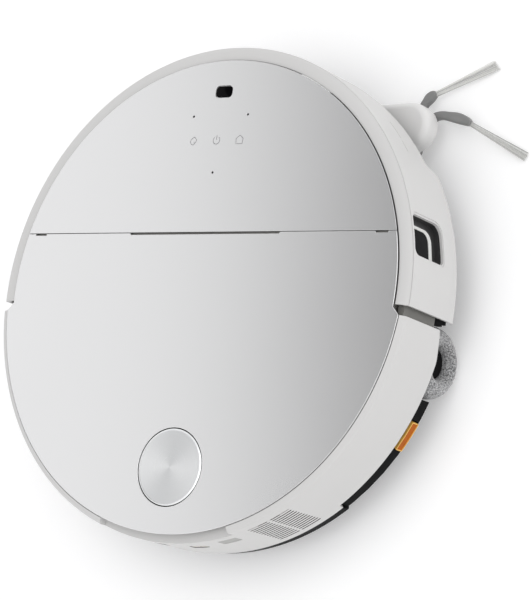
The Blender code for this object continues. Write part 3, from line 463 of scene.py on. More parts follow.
def spun(name, profile, first=0.0, last=360.0, centre=(0.0, 0.0), steps=None):
    """A closed (radius, height) profile spun round a vertical axis between two bearings."""
    whole = last - first >= 359.9
    middle = Vector((*centre, 0.0))
    spots = [ring_spot(radius, first, z) + middle for radius, z in profile]
    piece = draw(name, spots, True, not whole)
    count = steps or max(4, round(bpy.context.scene.body_settings.ring_steps * (last - first) / 360))
    bpy.ops.mesh.spin(steps=count, angle=math.radians(last - first), center=middle, axis=(0.0, 0.0, 1.0))
    tidy_mesh()
    return piece


def tidy_mesh():
    """Merge doubles, drop collapsed faces and turn the faces out, in edit mode."""
    bpy.ops.mesh.select_all(action="SELECT")
    bpy.ops.mesh.remove_doubles(threshold=2e-7)
    bpy.ops.mesh.dissolve_degenerate(threshold=1e-7)
    bpy.ops.mesh.select_all(action="SELECT")
    bpy.ops.mesh.normals_make_consistent(inside=False)
    object_mode()


def raised(name, outline, low, high):
    """A plan outline raised between two heights."""
    piece = draw(name, [(x, y, low) for x, y in outline])
    bpy.ops.mesh.extrude_region_move(TRANSFORM_OT_translate={"value": (0.0, 0.0, high - low)})
    tidy_mesh()
    return piece


def wall_block(name, outline, inner, outer):
    """A block through the round wall: an outline of (bearing, height) pushed out along the radius."""
    low, high = min(b for b, _ in outline), max(b for b, _ in outline)
    strips = max(1, round((high - low) / 3))
    cuts = [low + (high - low) * k / strips for k in range(1, strips)]
    spots = []
    for i, (bearing, z) in enumerate(outline):
        to, rise = outline[(i + 1) % len(outline)]
        spots.append((bearing, z))
        shares = sorted((cut - bearing) / (to - bearing) for cut in cuts
                        if (cut - bearing) * (cut - to) < -1e-6)
        spots += [(bearing + (to - bearing) * t, z + (rise - z) * t) for t in shares]
    piece = draw(name, [ring_spot(inner, bearing, z) for bearing, z in spots])
    for cut in cuts:
        across = ring_spot(1.0, cut + 90.0)
        bpy.ops.mesh.select_all(action="SELECT")
        bpy.ops.mesh.bisect(plane_co=(0.0, 0.0, 0.0), plane_no=across, threshold=2e-5)
    bpy.ops.mesh.select_all(action="SELECT")
    bpy.ops.mesh.extrude_region_move(TRANSFORM_OT_translate={"value": (0.0, 0.0, 0.0)})
    bpy.ops.transform.resize(value=(outer / inner, outer / inner, 1.0), center_override=(0.0, 0.0, 0.0))
    tidy_mesh()
    return piece


def rounded(corners, radius, steps=5, wide=1.0):
    """A (a, b) outline with its corners rounded; wide is how many units of a make one of b."""
    found = []
    count = len(corners)
    for i in range(count):
        before, here, after = (Vector((corners[(i + k) % count][0] / wide, corners[(i + k) % count][1]))
                               for k in (-1, 0, 1))
        r = radius[i] if isinstance(radius, (list, tuple)) else radius
        if r <= 0:
            found.append((here.x * wide, here.y))
            continue
        a, b = (before - here).normalized(), (after - here).normalized()
        half = a.angle(b) / 2
        centre = here + (a + b).normalized() * (r / math.sin(half))
        p, q = here + a * (r / math.tan(half)), here + b * (r / math.tan(half))
        sweep = (p - centre).angle_signed(q - centre)
        for k in range(steps + 1):
            turn = -sweep * k / steps
            arm = p - centre
            spot = centre + Vector((arm.x * math.cos(turn) - arm.y * math.sin(turn),
                                    arm.x * math.sin(turn) + arm.y * math.cos(turn)))
            found.append((spot.x * wide, spot.y))
    return found


DEGREES_PER_METRE = 180 / (math.pi * BODY_R)


def wall_window(first, last, low, high, radius, steps=5):
    """The outline of a rounded rectangle on the wall, in bearings and heights."""
    return rounded([(first, low), (last, low), (last, high), (first, high)], radius, steps,
                   DEGREES_PER_METRE)


def carve(piece, *tools, operation="DIFFERENCE"):
    """Cut each tool out of a piece, or join it on, and throw the tool away."""
    for tool in tools:
        made = piece.modifiers.new("carve", "BOOLEAN")
        made.operation = operation
        made.solver = "EXACT"
        made.object = tool
        only(piece)
        bpy.ops.object.modifier_apply(modifier=made.name)
        bpy.data.objects.remove(tool, do_unlink=True)


def bevel_edges(piece, test, width, segments=3):
    """Round the edges for which a test of their two ends and their angle holds."""
    only(piece)
    bpy.ops.object.mode_set(mode="EDIT")
    bpy.ops.mesh.select_mode(type="EDGE")
    bpy.ops.mesh.select_all(action="DESELECT")
    mesh = bmesh.from_edit_mesh(piece.data)
    for edge in mesh.edges:
        if len(edge.link_faces) == 2 and test(edge.verts[0].co, edge.verts[1].co, edge.calc_face_angle(0.0)):
            edge.select_set(True)
    bmesh.update_edit_mesh(piece.data)
    bpy.ops.mesh.bevel(offset=width, segments=segments, affect="EDGES", clamp_overlap=True)
    object_mode()


def paint_faces(piece, test, key):
    """Give the faces for which a test of their middle and normal holds another finish."""
    piece.data.materials.append(MATERIALS[key])
    index = len(piece.data.materials) - 1
    for face in piece.data.polygons:
        if test(face.center, face.normal):
            face.material_index = index


def done(piece, key, body, replaces=(), angle=35.0, broad=False):
    """Give a piece its finish, its shading and the body that it rides on.

    broad keeps wide flat faces flat beside a small rounding.
    """
    only(piece)
    bpy.ops.object.transform_apply(location=True, rotation=True, scale=True)
    if not piece.data.materials:
        piece.data.materials.append(MATERIALS[key])
    bpy.ops.object.shade_smooth_by_angle(angle=math.radians(angle))
    if broad:
        evened = piece.modifiers.new("even_shading", "WEIGHTED_NORMAL")
        evened.keep_sharp = True
        evened.weight = 100
        bpy.ops.object.modifier_apply(modifier=evened.name)
    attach(piece, body)
    if replaces:
        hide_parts(*replaces)
    piece.select_set(False)
    return piece


def joined(name, pieces):
    """Several pieces as one object."""
    object_mode()
    bpy.ops.object.select_all(action="DESELECT")
    for piece in pieces:
        piece.select_set(True)
    bpy.context.view_layer.objects.active = pieces[0]
    bpy.ops.object.join()
    pieces[0].name = name
    return pieces[0]


def copy_at(piece, matrix):
    """A copy with its own mesh, moved by a matrix."""
    made = piece.copy()
    made.data = piece.data.copy()
    made.data.transform(matrix)
    bpy.context.scene.collection.objects.link(made)
    return made


def cylinder(name, radius, low, high, centre=(0.0, 0.0), sides=48, bevel=0.0):
    """A short round piece with its rims rounded."""
    object_mode()
    bpy.ops.object.select_all(action="DESELECT")
    bpy.ops.mesh.primitive_cylinder_add(vertices=sides, radius=radius, depth=high - low,
                                        location=(*centre, (low + high) / 2))
    piece = bpy.context.object
    piece.name = name
    bpy.ops.object.transform_apply(location=True, rotation=True, scale=True)
    if bevel:
        bevel_edges(piece, lambda a, b, angle: abs(a.z - b.z) < 1e-6 and angle > 1.0, bevel, 3)
    return piece


def arc(radius, first, last, steps):
    return [tuple(ring_spot(radius, first + (last - first) * i / steps).xy) for i in range(steps + 1)]


# ---------------------------------------------------------------- top plates
def plate_outline(body, front):
    seam = body.seam_y + (-0.0002 if front else 0.0002)
    reach = math.degrees(math.acos(-seam / body.panel_r))
    if front:
        return arc(body.panel_r, -reach, reach, 150)
    step = math.degrees(math.acos(-0.0105 / body.panel_r))
    wide = math.degrees(math.acos(-0.0160 / body.cover_r))
    right = arc(body.panel_r, reach, step, 20) + arc(body.cover_r, wide, 180.0, 90)
    left = [(-x, y) for x, y in right[::-1][1:]]
    deep = seam + 0.0012
    cuts = [(0.1530, seam), (0.1529, deep), (0.1431, deep), (0.1430, seam), (0.0650, seam), (0.0645, deep)]
    return right + left + cuts + [(-x, y) for x, y in cuts[::-1]]


class RV_OT_top_plates(bpy.types.Operator):
    """Build the front plate and the rear cover, with painted shade as a thin dark line on their edges"""

    bl_idname = "rv.top_plates"
    bl_label = "Top plates"

    def execute(self, context):
        body = context.scene.body_settings
        low = TOP_Z - 0.0010

        def top_rim(a, b, angle):
            return a.z > TOP_Z - 1e-6 and b.z > TOP_Z - 1e-6 and angle > 1.0

        front = raised("front_plate_skin", plate_outline(body, True), low, TOP_Z)
        window = raised("tof_cut", rounded([(-0.0074, -0.1464), (0.0074, -0.1464), (0.0074, -0.1374),
                                            (-0.0074, -0.1374)], 0.0033, 8), 0.06, 0.08)
        carve(front, window)
        for x, y in ((0.0236, -0.1246), (-0.0236, -0.1246), (0.0, -0.0835)):
            carve(front, cylinder("mic_cut", 0.00088, 0.0692, 0.0710, (x, y), 16))
        bevel_edges(front, top_rim, 0.00022, 2)
        reach = math.degrees(math.acos(0.0414 / PLATE_CORE_R))
        core = arc(PLATE_CORE_R, -reach, reach, 60)
        front.data.materials.append(MATERIALS["plate"])
        # Painted shade: the side faces get dark grey, the thin dark line along the plate's edge.
        paint_faces(front, lambda c, n: n.z < 0.3, "plate_edge_shade")
        # Painted shade: near-black on the floor of each microphone hole.
        paint_faces(front, lambda c, n: c.z < 0.0697 and n.z > 0.5, "hole")
        carve(front, raised("front_core", core, TOP_Z - 0.0027, low + 0.0002), operation="UNION")
        done(front, "plate", "chassis", ["front_top_panel"], 50, True)

        cover = raised("rear_cover_skin", plate_outline(body, False), low, TOP_Z)
        reach = math.degrees(math.acos(-(body.seam_y + 0.0022) / PLATE_CORE_R))
        core = arc(PLATE_CORE_R, reach, 360 - reach, 90)
        carve(cover, raised("cover_core", core, TOP_Z - 0.0027, low + 0.0002), operation="UNION")
        hole = cylinder("lidar_hole", 0.0274, 0.060, 0.080, (LIDAR.x, LIDAR.y), 128)
        carve(cover, hole)
        bevel_edges(cover, top_rim, body.edge_round, 2)
        cover.data.materials.append(MATERIALS["plate"])
        # Painted shade: the side faces get dark grey, the thin dark line along the cover's edge.
        paint_faces(cover, lambda c, n: n.z < 0.3, "plate_edge_shade")
        done(cover, "plate", "top_cover", ["rear_top_cover"], 50, True)

        lens = raised("tof_lens", rounded([(-0.0070, -0.1460), (0.0070, -0.1460), (0.0070, -0.1378),
                                           (-0.0070, -0.1378)], 0.0030, 8), 0.0676, 0.0697)
        bevel_edges(lens, lambda a, b, angle: min(a.z, b.z) > 0.0696 and angle > 1.0, 0.0003, 3)
        done(lens, "glass", "chassis", ["tof_window"])
        return {"FINISHED"}


class RV_OT_touch_symbols(bpy.types.Operator):
    """Print the three touch symbols on the front plate"""

    bl_idname = "rv.touch_symbols"
    bl_label = "Touch symbols"

    def execute(self, context):
        y = -0.1067
        routes = []
        ring = [(0.0005 + 0.0028 * math.sin(math.radians(a)), y - 0.0028 * math.cos(math.radians(a)))
                for a in range(40, 321, 20)]
        routes += [ring, [(0.0005, y - 0.0036), (0.0005, y - 0.0004)]]
        house = [(-0.0225, y - 0.0008), (-0.0195, y - 0.0031), (-0.0165, y - 0.0008), (-0.0168, y + 0.0031),
                 (-0.0222, y + 0.0031), (-0.0225, y - 0.0008)]
        drop = [(0.0203, y - 0.0030), (0.0178, y - 0.0006), (0.0185, y + 0.0006), (0.0192, y + 0.0016),
                (0.0206, y + 0.0030), (0.0223, y + 0.0022), (0.0234, y + 0.0003), (0.0225, y - 0.0012),
                (0.0203, y - 0.0030)]
        leaf = [(0.0192, y + 0.0016), (0.0200, y + 0.0013), (0.0201, y + 0.0005)]
        routes += [house, drop, leaf]
        lines = []
        for number, route in enumerate(routes):
            line = draw(f"symbol_{number}", [(px, py, TOP_Z - 0.00002) for px, py in route], False, False)
            object_mode()
            only(line)
            bpy.ops.object.convert(target="CURVE")
            line = bpy.context.object
            line.data.bevel_depth = 0.00026
            line.data.bevel_resolution = 1
            line.data.use_fill_caps = True
            bpy.ops.object.convert(target="MESH")
            line = bpy.context.object
            line.data.transform(Matrix.Translation((0, 0, TOP_Z)) @ Matrix.Diagonal((1, 1, 0.22, 1))
                                @ Matrix.Translation((0, 0, -TOP_Z)))
            lines.append(line)
        done(joined("touch_symbols", lines), "ink", "chassis", (), 60)
        return {"FINISHED"}


# ---------------------------------------------------------------- shell and bumper
def corner_arc(cx, cz, r, first, last, steps=5):
    """Points of a small rounding in a (radius, height) profile."""
    return [(cx + r * math.cos(math.radians(first + (last - first) * i / steps)),
             cz + r * math.sin(math.radians(first + (last - first) * i / steps))) for i in range(steps + 1)]


class RV_OT_rear_shell(bpy.types.Operator):
    """Build the rear shell with its rim, exhaust slots, finger scoop and lower step"""

    bl_idname = "rv.rear_shell"
    bl_label = "Rear shell"

    def execute(self, context):
        inner = BODY_R - 0.0019
        low = 0.0145
        profile = [(inner, low)] + corner_arc(BODY_R - 0.0004, low + 0.0004, 0.0004, -90, 0, 2)
        profile += corner_arc(BODY_R - 0.0022, 0.0662, 0.0022, 0, 58, 6)
        profile += [(0.1716, 0.0690), (0.1706, 0.0694), (0.1704, 0.0686), (0.1632, 0.0686), (0.1632, 0.0570),
                    (inner, 0.0570)]
        shell = spun("rear_shell_skin", profile, 95.4, 264.6)
        lower = rounded([(88.0, -0.005), (142.2, -0.005), (141.4, 0.0200), (102.2, 0.0200), (94.0, 0.0265),
                         (88.0, 0.0265)], [0, 0, 0.0012, 0.0150, 0, 0], 6, DEGREES_PER_METRE)
        mirrored = [(360 - bearing, z) for bearing, z in lower[::-1]]
        carve(shell, wall_block("shell_step_right", lower, 0.1500, 0.2000),
              wall_block("shell_step_left", mirrored, 0.1500, 0.2000))
        scoop = spun("scoop", [(0.1640, 0.0636), (0.1690, 0.0632), (0.1800, 0.0597), (0.1800, 0.0800),
                               (0.1640, 0.0800)], 161.6, 198.4, steps=48)
        carve(shell, scoop)
        slots = []
        for first, last in ((146.6, 152.0), (152.6, 158.0)):
            for row in range(13):
                z = 0.0215 + row * 0.0380 / 12
                slots.append(wall_block("slot", wall_window(first, last, z - 0.00055, z + 0.00055, 0.0005, 3),
                                        0.1700, 0.1800))
        carve(shell, joined("slots", slots))
        outline = wall_window(162.7, 167.5, 0.0454, 0.0546, 0.0006, 3)
        carve(shell, wall_block("light_hole", outline, 0.1650, 0.1800))
        for middle in (180 - 5.6, 180 + 5.6):
            carve(shell, wall_block("contact_hole", wall_window(middle - 2.2, middle + 2.2, 0.0426, 0.0494,
                                                                0.0010, 4), 0.1650, 0.1800))
        shell.data.materials.append(MATERIALS["white"])

        def in_cut(centre, normal):
            """Whether a face is a side of an exhaust slot or of a contact's pocket."""
            bearing = math.degrees(math.atan2(-centre.x, -centre.y)) % 360
            across = abs(normal.x * centre.x + normal.y * centre.y) < 0.5 * centre.xy.length
            slot_row = 146.5 < bearing < 158.1 and 0.0208 < centre.z < 0.0602
            pocket = 171.0 < bearing < 189.0 and 0.0420 < centre.z < 0.0500
            return across and centre.xy.length > inner + 0.0001 and (slot_row or pocket)

        # Painted shade: near-black on the walls of the exhaust slots and the contact pockets.
        paint_faces(shell, in_cut, "hole")
        done(shell, "white", "chassis", ["rear_shell"], 40, True)
        # A near-black sheet behind the exhaust slots: painted shade for the shadow seen through the grille.
        backing = spun("exhaust_shade_backing", [(0.1712, 0.0190), (0.1727, 0.0190), (0.1727, 0.0620), (0.1712, 0.0620)],
                       145.6, 159.0)
        done(backing, "hole", "chassis")
        skirt = spun("base_skirt", [(0.1690, 0.0034), (0.1714, 0.0034), (0.1736, 0.0058), (0.1746, 0.0141),
                                    (0.1690, 0.0141)], 141.9, 218.1)
        done(skirt, "black", "chassis")
        for sign, label in ((1, "right"), (-1, "left")):
            # Grey wall in the gap between bumper and shell, toned dark as painted shade.
            liner = spun(f"gap_liner_{label}", [(0.1652, 0.0262), (0.1699, 0.0262), (0.1699, 0.0640),
                                                (0.1652, 0.0640)], *sorted((sign * 90.6, sign * 95.6)))
            done(liner, "liner", "chassis")
            foot = spun(f"gap_foot_{label}", [(0.1652, 0.0165), (0.1699, 0.0165), (0.1699, 0.0258),
                                              (0.1652, 0.0258)], *sorted((sign * 91.6, sign * 94.2)))
            done(foot, "black", "chassis")

        outline = wall_window(162.9, 167.3, 0.0457, 0.0543, 0.0005, 3)
        light = wall_block("light_window", outline, 0.1722, 0.17485)
        done(light, "frosted", "chassis", ["rear_light_window"])
        for side, label in ((1, "right"), (-1, "left")):
            middle = 180 - side * 5.6
            pad = wall_block(f"contact_{label}", wall_window(middle - 2.0, middle + 2.0, 0.0430, 0.0490, 0.0008,
                                                             4), 0.1722, 0.1748)
            bevel_edges(pad, lambda a, b, angle: min(a.xy.length, b.xy.length) > 0.1747 and angle > 1.0,
                        0.0003, 3)
            done(pad, "contact", "chassis", [f"charge_contact_{label}"])
        return {"FINISHED"}


class RV_OT_bumper(bpy.types.Operator):
    """Build the bumper with its parting line, arch, windows and slots"""

    bl_idname = "rv.bumper"
    bl_label = "Bumper"

    def execute(self, context):
        body = context.scene.body_settings
        inner, low, lip = 0.1726, 0.0110, 0.0182
        groove = body.groove
        profile = [(0.1650, 0.0672), (0.1650, 0.0684), (0.1652, 0.0686), (0.1668, 0.0687), (0.1690, 0.0686),
                   (0.1712, 0.0683), (0.1730, 0.0678), (0.1741, 0.0673), (0.1746, 0.0670)]
        profile += [(0.1746 - groove, 0.06690), (0.1746 - groove, 0.06650), (0.1748, 0.0664)]
        profile += [(BODY_R, 0.0659), (BODY_R, lip), (BODY_R - 0.0006, lip - 0.0003),
                    (BODY_R - 0.0006, low + 0.0004), (BODY_R - 0.0010, low), (inner, low),
                    (inner, 0.0650), (0.1700, 0.0650), (0.1700, 0.0672)]
        bumper = spun("bumper_skin", profile, -93.0, 93.0)
        arch = rounded([(57.5, -0.005), (57.5, 0.0110), (55.4, 0.0222), (28.0, 0.0222), (26.5, 0.0110),
                        (26.5, -0.005)],
                       [0, 0.0015, 0.0030, 0.0060, 0.0030, 0], 6, DEGREES_PER_METRE)
        border = rounded([(59.4, -0.005), (59.2, 0.0120), (56.4, 0.0256), (27.0, 0.0256), (25.0, 0.0120),
                          (25.0, -0.005)], [0, 0.0020, 0.0050, 0.0080, 0.0030, 0], 6, DEGREES_PER_METRE)
        carve(bumper, wall_block("arch_border", border, BODY_R - 0.0006, 0.1900),
              wall_block("arch", arch, *THROUGH_WALL))
        opening = [(72.0, 0.0290), (81.4, 0.0290), (81.4, 0.0640), (72.0, 0.0640)]
        corner = [0.0070, 0.0035, 0.0050, 0.0035]
        for sign in (1, -1):
            outline = rounded(opening, corner, 7, DEGREES_PER_METRE)
            outline = [(sign * bearing, z) for bearing, z in outline][::sign]
            carve(bumper, wall_block("window_hole", outline, *THROUGH_WALL))
            sill = rounded([(71.5, 0.0281), (81.9, 0.0281), (81.9, 0.0649), (71.5, 0.0649)],
                           [0.0078, 0.0042, 0.0058, 0.0042], 7, DEGREES_PER_METRE)
            sill = [(sign * bearing, z) for bearing, z in sill][::sign]
            carve(bumper, wall_block("window_sill", sill, BODY_R - 0.0005, 0.1900))
        outline = wall_window(-22.0, 22.0, 0.0307, 0.0453, 0.0060, 6)
        carve(bumper, wall_block("front_hole", outline, *THROUGH_WALL))
        for first, last in ((45.0, 50.2), (51.0, 54.4)):
            z = 0.0425 if first < 50 else 0.0432
            outline = wall_window(first, last, z - 0.0003, z + 0.0003, 0.0002, 2)
            carve(bumper, wall_block("crease", outline, 0.1745, 0.1900))
        ends = [(91.9, 0.0080), (93.3, 0.0080), (93.3, 0.0125)]
        for sign in (1, -1):
            carve(bumper, wall_block("rear_corner", [(sign * b, z) for b, z in ends][::sign], *THROUGH_WALL))
        done(bumper, "white", "bumper", ["bumper"], 40, True)

        visor = wall_block("front_visor", wall_window(-21.8, 21.8, 0.0310, 0.0450, 0.0055, 6), 0.1731, 0.1749)
        done(visor, "glass", "bumper", ["front_window"])
        for sign, label in ((1, "right"), (-1, "left")):
            self.side_eye(sign, label)
        return {"FINISHED"}

    def side_eye(self, sign, label):
        """The recessed housing of a side sensor, with a lens in a light frame."""
        cup = wall_block(f"side_eye_cup_{label}", [(sign * b, z) for b, z in wall_window(
            71.2, 82.0, 0.0282, 0.0646, 0.0040, 5)][::sign], 0.1668, 0.1722)
        hollow = wall_block("cup_hollow", [(sign * b, z) for b, z in wall_window(
            71.9, 81.5, 0.0292, 0.0638, 0.0040, 5)][::sign], 0.1686, 0.1900)
        carve(cup, hollow)
        done(cup, "recess", "bumper", [f"side_window_{label}"])
        corner = [0.0075, 0.0012, 0.0012, 0.0015]
        edge = rounded([(74.4, 0.0400), (81.3, 0.0400), (81.3, 0.0635), (74.4, 0.0635)], corner, 7,
                       DEGREES_PER_METRE)
        rim = wall_block(f"side_eye_frame_{label}", [(sign * b, z) for b, z in edge][::sign], 0.1684, 0.1724)
        glass = rounded([(75.1, 0.0437), (81.2, 0.0437), (81.2, 0.0630), (75.1, 0.0630)],
                        [0.0062, 0.0008, 0.0008, 0.0010], 7, DEGREES_PER_METRE)
        carve(rim, wall_block("frame_hole", [(sign * b, z) for b, z in glass][::sign], 0.1715, 0.1800))
        done(rim, "trim", "bumper")
        pane = rounded([(75.15, 0.0439), (81.15, 0.0439), (81.15, 0.0628), (75.15, 0.0628)],
                       [0.0060, 0.0006, 0.0006, 0.0008], 7, DEGREES_PER_METRE)
        lens = wall_block(f"side_eye_lens_{label}", [(sign * b, z) for b, z in pane][::sign], 0.17155, 0.1721)
        done(lens, "glass", "bumper")


# ---------------------------------------------------------------- lidar
class RV_OT_lidar_cap(bpy.types.Operator):
    """Build the turned aluminium cap of the lidar turret"""

    bl_idname = "rv.lidar_cap"
    bl_label = "Lidar cap"

    def execute(self, context):
        centre = (LIDAR.x, LIDAR.y)
        low, high = 0.0671, TOP_Z
        profile = [(0.0004, low), (0.0262, low), (0.0268, low + 0.0006), (0.0268, high - 0.0006)]
        profile += [(0.0266, high - 0.0003), (0.0262, high - 0.0001), (0.0259, high), (0.0254, high - 0.00012),
                    (0.0004, high - 0.00012)]
        cap = spun("lidar_cap_disc", profile, centre=centre, steps=128)
        only(cap)
        bpy.ops.object.mode_set(mode="EDIT")
        bpy.ops.mesh.select_mode(type="EDGE")
        bpy.ops.mesh.select_all(action="DESELECT")
        bpy.ops.mesh.select_non_manifold()
        bpy.ops.mesh.edge_face_add()
        mesh = bmesh.from_edit_mesh(cap.data)
        for edge in mesh.edges:
            middle = (edge.verts[0].co + edge.verts[1].co) / 2
            edge.select_set(math.hypot(middle.x - LIDAR.x, middle.y - LIDAR.y) < 0.00045
                            and abs(edge.verts[0].co.z - edge.verts[1].co.z) < 1e-6)
        bmesh.update_edit_mesh(cap.data)
        bpy.ops.mesh.merge(type="COLLAPSE")
        tidy_mesh()
        done(cap, "cap", "lidar_carriage", ["lidar_cap"], 12)
        return {"FINISHED"}


# ---------------------------------------------------------------- roller mop
class RV_OT_mop_roller(bpy.types.Operator):
    """Build the plush sleeve of the roller mop, with its rounded outer end"""

    bl_idname = "rv.mop_roller"
    bl_label = "Mop roller"

    def execute(self, context):
        mop = context.scene.mop_settings
        radius = ROLLER.z - SLEEVE_LOW.z
        right, left = SLEEVE_LOW.x, SLEEVE_HIGH.x
        profile = [(mop.hole_r, right + 0.0180), (mop.hole_r, right + 0.0080), (mop.hole_r + 0.0006, right + 0.0056),
                   (mop.hole_r + 0.0017, right + 0.0033), (mop.hole_r + 0.0032, right + 0.0016)]
        for i in range(3, 15):
            turn = math.pi / 2 * i / 14
            profile.append((radius - mop.fillet + mop.fillet * math.sin(turn),
                            right + mop.fillet * (1 - math.cos(turn))))
        length = left - 0.0030 - (right + mop.fillet)
        profile += [(radius, right + mop.fillet + length * i / mop.rings) for i in range(1, mop.rings + 1)]
        profile += [(radius - 0.0009, left - 0.0009), (radius - 0.0030, left), (0.0085, left),
                    (0.0085, right + 0.0180)]
        spots = [(x, ROLLER.y, ROLLER.z + r) for r, x in profile]
        sleeve = draw("mop_plush", spots, True, False)
        bpy.ops.mesh.spin(steps=170, angle=math.tau, center=(0.0, ROLLER.y, ROLLER.z), axis=(1.0, 0.0, 0.0))
        tidy_mesh()
        nap = bpy.data.textures.new("nap", "CLOUDS")
        nap.noise_scale = 0.0022
        nap.noise_depth = 2
        ruffle = sleeve.modifiers.new("ruffle", "DISPLACE")
        ruffle.texture = nap
        ruffle.texture_coords = "LOCAL"
        ruffle.strength = mop.nap * 2
        ruffle.mid_level = 0.72
        only(sleeve)
        bpy.ops.object.modifier_apply(modifier=ruffle.name)
        done(sleeve, "plush", "mop_roller", ["mop_sleeve"], 80)

        end = left + 0.0020
        profile = [(0.0004, right + 0.0082), (0.0098, right + 0.0082), (0.0106, right + 0.0088),
                   (0.0106, right + 0.0130), (0.0082, right + 0.0160), (0.0082, end), (0.0036, end),
                   (0.0036, end + 0.0078), (0.0004, end + 0.0078)]
        core = draw("mop_core_shaft", [(x, ROLLER.y, ROLLER.z + r) for r, x in profile], True, False)
        bpy.ops.mesh.spin(steps=48, angle=math.tau, center=(0.0, ROLLER.y, ROLLER.z), axis=(1.0, 0.0, 0.0))
        tidy_mesh()
        done(core, "black", "mop_roller", ["mop_core"])
        return {"FINISHED"}


# ---------------------------------------------------------------- side brush
def hull(circles, steps=72):
    """The outline of a band stretched round some (x, y, radius) circles."""
    spots = sorted({(round(x + r * math.cos(math.tau * i / steps), 7),
                     round(y + r * math.sin(math.tau * i / steps), 7))
                    for x, y, r in circles for i in range(steps)})

    def half(points):
        chain = []
        for p in points:
            while len(chain) > 1 and ((chain[-1][0] - chain[-2][0]) * (p[1] - chain[-2][1])
                                      - (chain[-1][1] - chain[-2][1]) * (p[0] - chain[-2][0])) <= 1e-12:
                chain.pop()
            chain.append(p)
        return chain[:-1]

    return half(spots) + half(spots[::-1])


def smooth_route(points, per=8):
    """A finer route through some plan points."""
    ends = [points[0] * 2 - points[1], *points, points[-1] * 2 - points[-2]]
    found = []
    for i in range(1, len(ends) - 2):
        a, b, c, d = ends[i - 1:i + 3]
        for k in range(per):
            t = k / per
            found.append(0.5 * ((2 * b) + (c - a) * t + (2 * a - 5 * b + 4 * c - d) * t ** 2
                                + (3 * b - a - 3 * c + d) * t ** 3))
    return found + [points[-1]]


LEG_ROUTES = {
    1: [(-0.1120, -0.1240), (-0.1128, -0.1400), (-0.1142, -0.1496), (-0.1168, -0.1540),
        (-0.1197, -0.1572), (-0.1232, -0.1597)],
    2: [(-0.1150, -0.1220), (-0.1185, -0.1350), (-0.1244, -0.1415), (-0.1302, -0.1431),
        (-0.1370, -0.1421), (-0.1439, -0.1407), (-0.1500, -0.1387), (-0.1549, -0.1364)],
}
TUFT_TIPS = {1: ((-0.1626, -0.1838), (-0.1680, -0.1772)), 2: ((-0.1993, -0.1166), (-0.1960, -0.1108))}


